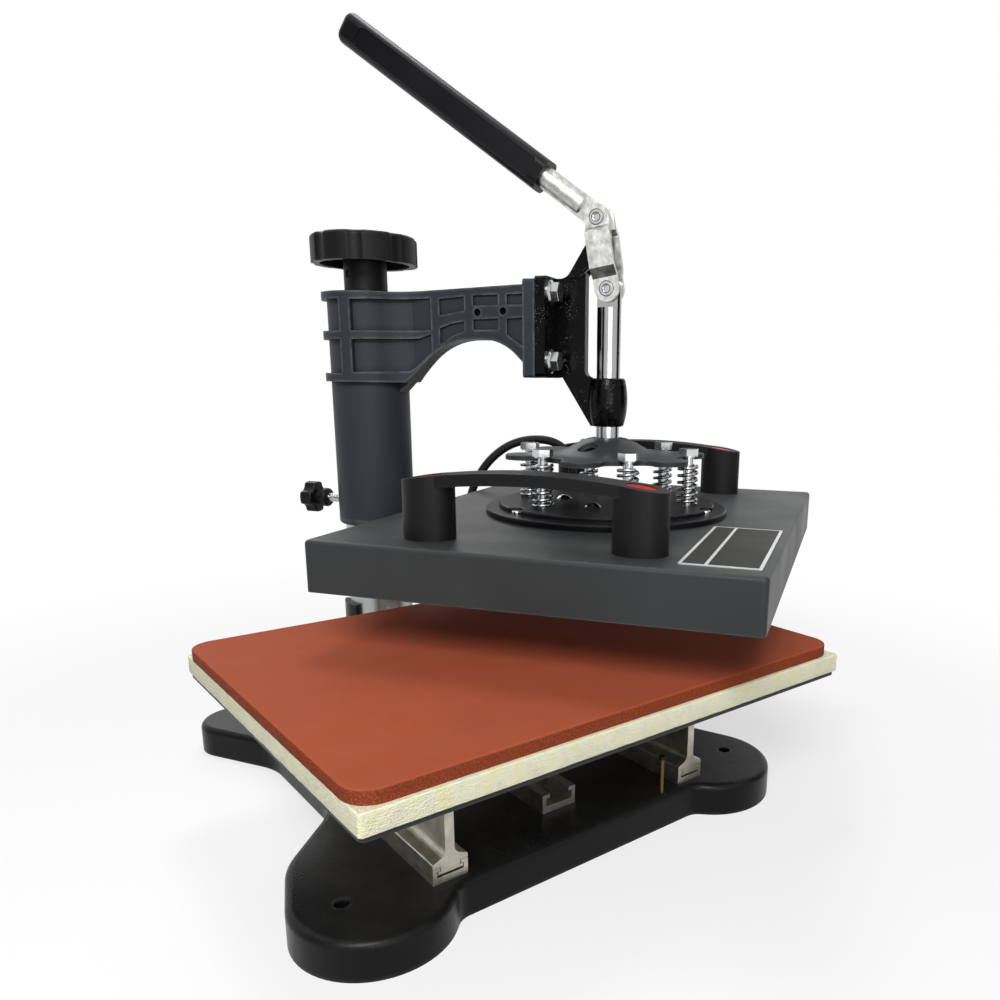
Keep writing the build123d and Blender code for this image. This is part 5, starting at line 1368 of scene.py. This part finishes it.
@dataclass
class HeaterLead(Assembly):
    """The heater's lead, from its gland over the platen's back edge to its connector.

    Attributes:
        route: Control points, as s from the plunger, w and z in metres.
        diameter: The lead's diameter.
        length: The lead's length; not used.
        section_steps: How finely its section is divided.
        run_steps: How finely it is divided between two control points.
    """

    route: tuple[Triple, ...] = (
        (-0.066, -0.108, 0.227),
        (-0.066, -0.108, 0.251),
        (-0.086, -0.105, 0.268),
        (-0.122, -0.099, 0.266),
        (-0.150, -0.094, 0.246),
        (-0.168, -0.091, 0.215),
        (-0.174, -0.090, 0.178),
        (-0.176, -0.089, 0.150),
        (-0.176, -0.089, 0.122),
    )
    diameter: float = 8 * MM
    length: float = 0.246
    section_steps: int = 5
    run_steps: int = 16

    def build(self) -> None:
        """Lay the lead and dress its connector."""
        self.dress("black_plastic", "lead_plug")
        points = [arm_point(PLUNGER_S + s, w, z) for s, w, z in self.route]
        curve = bpy.data.curves.new("heater_lead_sheath", "CURVE")
        curve.dimensions = "3D"
        curve.bevel_depth = self.diameter / 2
        curve.bevel_resolution = self.section_steps
        curve.resolution_u = self.run_steps
        curve.use_fill_caps = True
        spline = curve.splines.new("NURBS")
        spline.points.add(len(points) - 1)
        for control, point in zip(spline.points, points):
            control.co = (*point, 1.0)
        spline.order_u = 3
        spline.use_endpoint_u = True
        curve.materials.append(self.finishes["lead_sheath"])
        lead = bpy.data.objects.new("heater_lead_sheath", curve)
        bpy.context.scene.collection.objects.link(lead)
        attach(lead, "platen")
        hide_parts("heater_lead")
        LOG.info("laid the heater lead")


@dataclass
class Studio:
    """Camera, floor, white surround and soft lights.

    Attributes:
        eye: The camera's place.
        yaw: How far it looks clockwise from the back, seen from above.
        pitch: How far it looks down.
        roll: How far it leans.
        focal: Focal length in image widths.
        centre: The lens axis' place in the picture, in image widths.
        sensor: Width of the camera's sensor in millimetres.
        aim: What the lamps and cards face.
        surround: The world's strength for the light it gives.
        floor_fade: Where the floor starts and ends to turn white, and its share of white at both.
        floor_white: How pale the floor is to look at.
        floor_bounce: How much light it throws back at the press.
        floor_reach: How far the floor goes to each side.
        floor_roughness: The floor's roughness.
        card_tone: How dark the cards are, as a linear value.
        cards: Name, place, width and height of each dark card.
        lamps: Name, place, width, height and power of each soft box.
    """

    eye: Triple = (-0.3293, -0.5818, 0.3275)
    yaw: float = 0.6997
    pitch: float = 0.2426
    roll: float = -0.0144
    focal: float = 0.831317
    centre: tuple[float, float] = (0.59866, 0.58197)
    sensor: float = 36.0
    aim: Triple = (0.05, -0.03, 0.22)
    surround: float = 0.10
    floor_fade: tuple[float, float, float, float] = (0.30, 0.9, 0.6, 1.0)
    floor_white: float = 0.92
    floor_bounce: float = 0.15
    floor_reach: float = 6.0
    floor_roughness: float = 0.9
    card_tone: float = 0.01
    cards: tuple[tuple[str, Triple, float, float], ...] = (
        ("card_near", (-1.2, -1.9, 0.7), 0.9, 2.6),
        ("card_left", (-2.2, 0.3, 0.7), 1.1, 2.6),
        ("card_right", (2.0, -1.1, 0.6), 1.3, 2.6),
        ("card_back", (1.36, 2.0, 0.90), 1.8, 1.0),
    )
    lamps: tuple[tuple[str, Triple, float, float, float], ...] = (
        ("key", (-1.15, -1.3, 1.45), 0.8, 0.8, 42.0),
        ("fill", (-0.75, -1.6, 0.36), 1.1, 0.5, 7.5),
        ("top", (0.15, 0.35, 1.7), 0.5, 0.5, 7.0),
        ("rim", (0.5, 1.5, 1.2), 1.2, 0.8, 8.0),
    )

    def build(self) -> None:
        """Set up the studio."""
        self._camera()
        self._surround()
        self._floor()
        self._cards()
        self._lights()
        bpy.context.scene.view_settings.view_transform = "Standard"

    def _camera(self) -> None:
        """Place the camera where the photograph was taken from."""
        forward = Vector((
            math.sin(self.yaw) * math.cos(self.pitch),
            math.cos(self.yaw) * math.cos(self.pitch),
            -math.sin(self.pitch),
        ))
        level = Vector((math.cos(self.yaw), -math.sin(self.yaw), 0.0))
        down = forward.cross(level)
        right = level * math.cos(self.roll) + down * math.sin(self.roll)
        up = level * math.sin(self.roll) - down * math.cos(self.roll)
        turn = Matrix((right, up, -forward)).transposed()
        data = bpy.data.cameras.new("camera")
        data.sensor_width = self.sensor
        data.lens = self.focal * self.sensor
        data.shift_x = 0.5 - self.centre[0]
        data.shift_y = self.centre[1] - 0.5
        data.clip_start = 0.01
        camera = bpy.data.objects.new("camera", data)
        camera.matrix_world = Matrix.Translation(self.eye) @ turn.to_4x4()
        bpy.context.scene.collection.objects.link(camera)
        bpy.context.scene.camera = camera

    @staticmethod
    def _seen_white(tree: bpy.types.NodeTree) -> bpy.types.NodeSocket:
        """Return 1 for rays that show the background: camera, glossy and transmission rays.

        Args:
            tree: The tree to add the nodes to.

        Returns:
            The value's socket.
        """
        rays = tree.nodes.new("ShaderNodeLightPath").outputs
        total = None
        for label in ("Is Camera Ray", "Is Glossy Ray", "Is Transmission Ray"):
            if total is None:
                total = rays[label]
                continue
            node = tree.nodes.new("ShaderNodeMath")
            node.operation = "MAXIMUM"
            tree.links.new(total, node.inputs[0])
            tree.links.new(rays[label], node.inputs[1])
            total = node.outputs[0]
        return total

    def _surround(self) -> None:
        """Make the world white to look at and a dim, even light otherwise."""
        world = bpy.data.worlds.new("surround")
        bpy.context.scene.world = world
        world.use_nodes = True
        tree = world.node_tree
        back = tree.nodes["Background"]
        strength = tree.nodes.new("ShaderNodeMapRange")
        strength.inputs["To Min"].default_value = self.surround
        strength.inputs["To Max"].default_value = 1.0
        tree.links.new(self._seen_white(tree), strength.inputs["Value"])
        back.inputs["Color"].default_value = (1.0, 1.0, 1.0, 1.0)
        tree.links.new(strength.outputs[0], back.inputs["Strength"])

    def _floor(self) -> None:
        """Lay a pale floor that keeps the press's shadow and turns plain white away from it."""
        shape = bmesh.new()
        bmesh.ops.create_grid(shape, x_segments=1, y_segments=1, size=self.floor_reach)
        mesh = mesh_from(shape, "floor", smooth=False)
        material = bpy.data.materials.new("pale_floor")
        material.use_nodes = True
        tree = material.node_tree
        shader = tree.nodes["Principled BSDF"]
        shader.inputs["Roughness"].default_value = self.floor_roughness
        shader.inputs["Specular IOR Level"].default_value = 0.0
        seen = self._seen_white(tree)
        paper = tree.nodes.new("ShaderNodeMix")
        paper.data_type = "RGBA"
        paper.inputs[6].default_value = (*[self.floor_bounce] * 3, 1.0)
        paper.inputs[7].default_value = (*[self.floor_white] * 3, 1.0)
        tree.links.new(seen, paper.inputs["Factor"])
        tree.links.new(paper.outputs[2], shader.inputs["Base Color"])
        away = tree.nodes.new("ShaderNodeVectorMath")
        away.operation = "LENGTH"
        tree.links.new(tree.nodes.new("ShaderNodeTexCoord").outputs["Object"], away.inputs[0])
        fade = tree.nodes.new("ShaderNodeMapRange")
        fade.interpolation_type = "SMOOTHSTEP"
        for label, value in zip(("From Min", "From Max", "To Min", "To Max"), self.floor_fade):
            fade.inputs[label].default_value = value
        tree.links.new(away.outputs["Value"], fade.inputs["Value"])
        share = tree.nodes.new("ShaderNodeMath")
        share.operation = "MULTIPLY"
        tree.links.new(fade.outputs[0], share.inputs[0])
        tree.links.new(seen, share.inputs[1])
        mixed = tree.nodes.new("ShaderNodeMixShader")
        tree.links.new(share.outputs[0], mixed.inputs[0])
        tree.links.new(shader.outputs[0], mixed.inputs[1])
        tree.links.new(tree.nodes.new("ShaderNodeEmission").outputs[0], mixed.inputs[2])
        tree.links.new(mixed.outputs[0], tree.nodes["Material Output"].inputs["Surface"])
        mesh.materials.append(material)
        floor = bpy.data.objects.new("floor", mesh)
        bpy.context.scene.collection.objects.link(floor)

    def _cards(self) -> None:
        """Stand dark cards round the press, which are seen only in its reflections."""
        material = bpy.data.materials.new("dark_card")
        material.use_nodes = True
        shader = material.node_tree.nodes["Principled BSDF"]
        shader.inputs["Base Color"].default_value = (*[self.card_tone] * 3, 1.0)
        shader.inputs["Roughness"].default_value = 1.0
        shader.inputs["Specular IOR Level"].default_value = 0.0
        for name, place, width, height in self.cards:
            shape = bmesh.new()
            bmesh.ops.create_grid(shape, x_segments=1, y_segments=1, size=0.5)
            mesh = mesh_from(shape, name, smooth=False)
            mesh.materials.append(material)
            card = bpy.data.objects.new(name, mesh)
            card.location = place
            card.scale = (width, height, 1.0)
            card.rotation_euler = (Vector(self.aim) - Vector(place)).to_track_quat("-Z", "Y").to_euler()
            card.visible_camera = False
            card.visible_diffuse = False
            card.visible_shadow = False
            card.visible_transmission = False
            bpy.context.scene.collection.objects.link(card)

    def _lights(self) -> None:
        """Hang the soft boxes round the press."""
        for name, place, width, height, power in self.lamps:
            data = bpy.data.lights.new(name, "AREA")
            data.shape = "RECTANGLE"
            data.size, data.size_y = width, height
            data.energy = power
            lamp = bpy.data.objects.new(name, data)
            lamp.location = place
            lamp.rotation_euler = (Vector(self.aim) - Vector(place)).to_track_quat("-Z", "Y").to_euler()
            bpy.context.scene.collection.objects.link(lamp)


def main() -> None:
    """Build the press around its frame, and the studio round the press."""
    logging.basicConfig(level=logging.INFO, format="%(name)s: %(message)s")
    finishes = Finishes()
    for assembly in (Stand, Table, Arm, Toggle, Platen, HeaterLead):
        assembly(finishes).build()
        LOG.info("built %s", assembly.__name__)
    Studio().build()


if __name__ == "__main__":
    main()
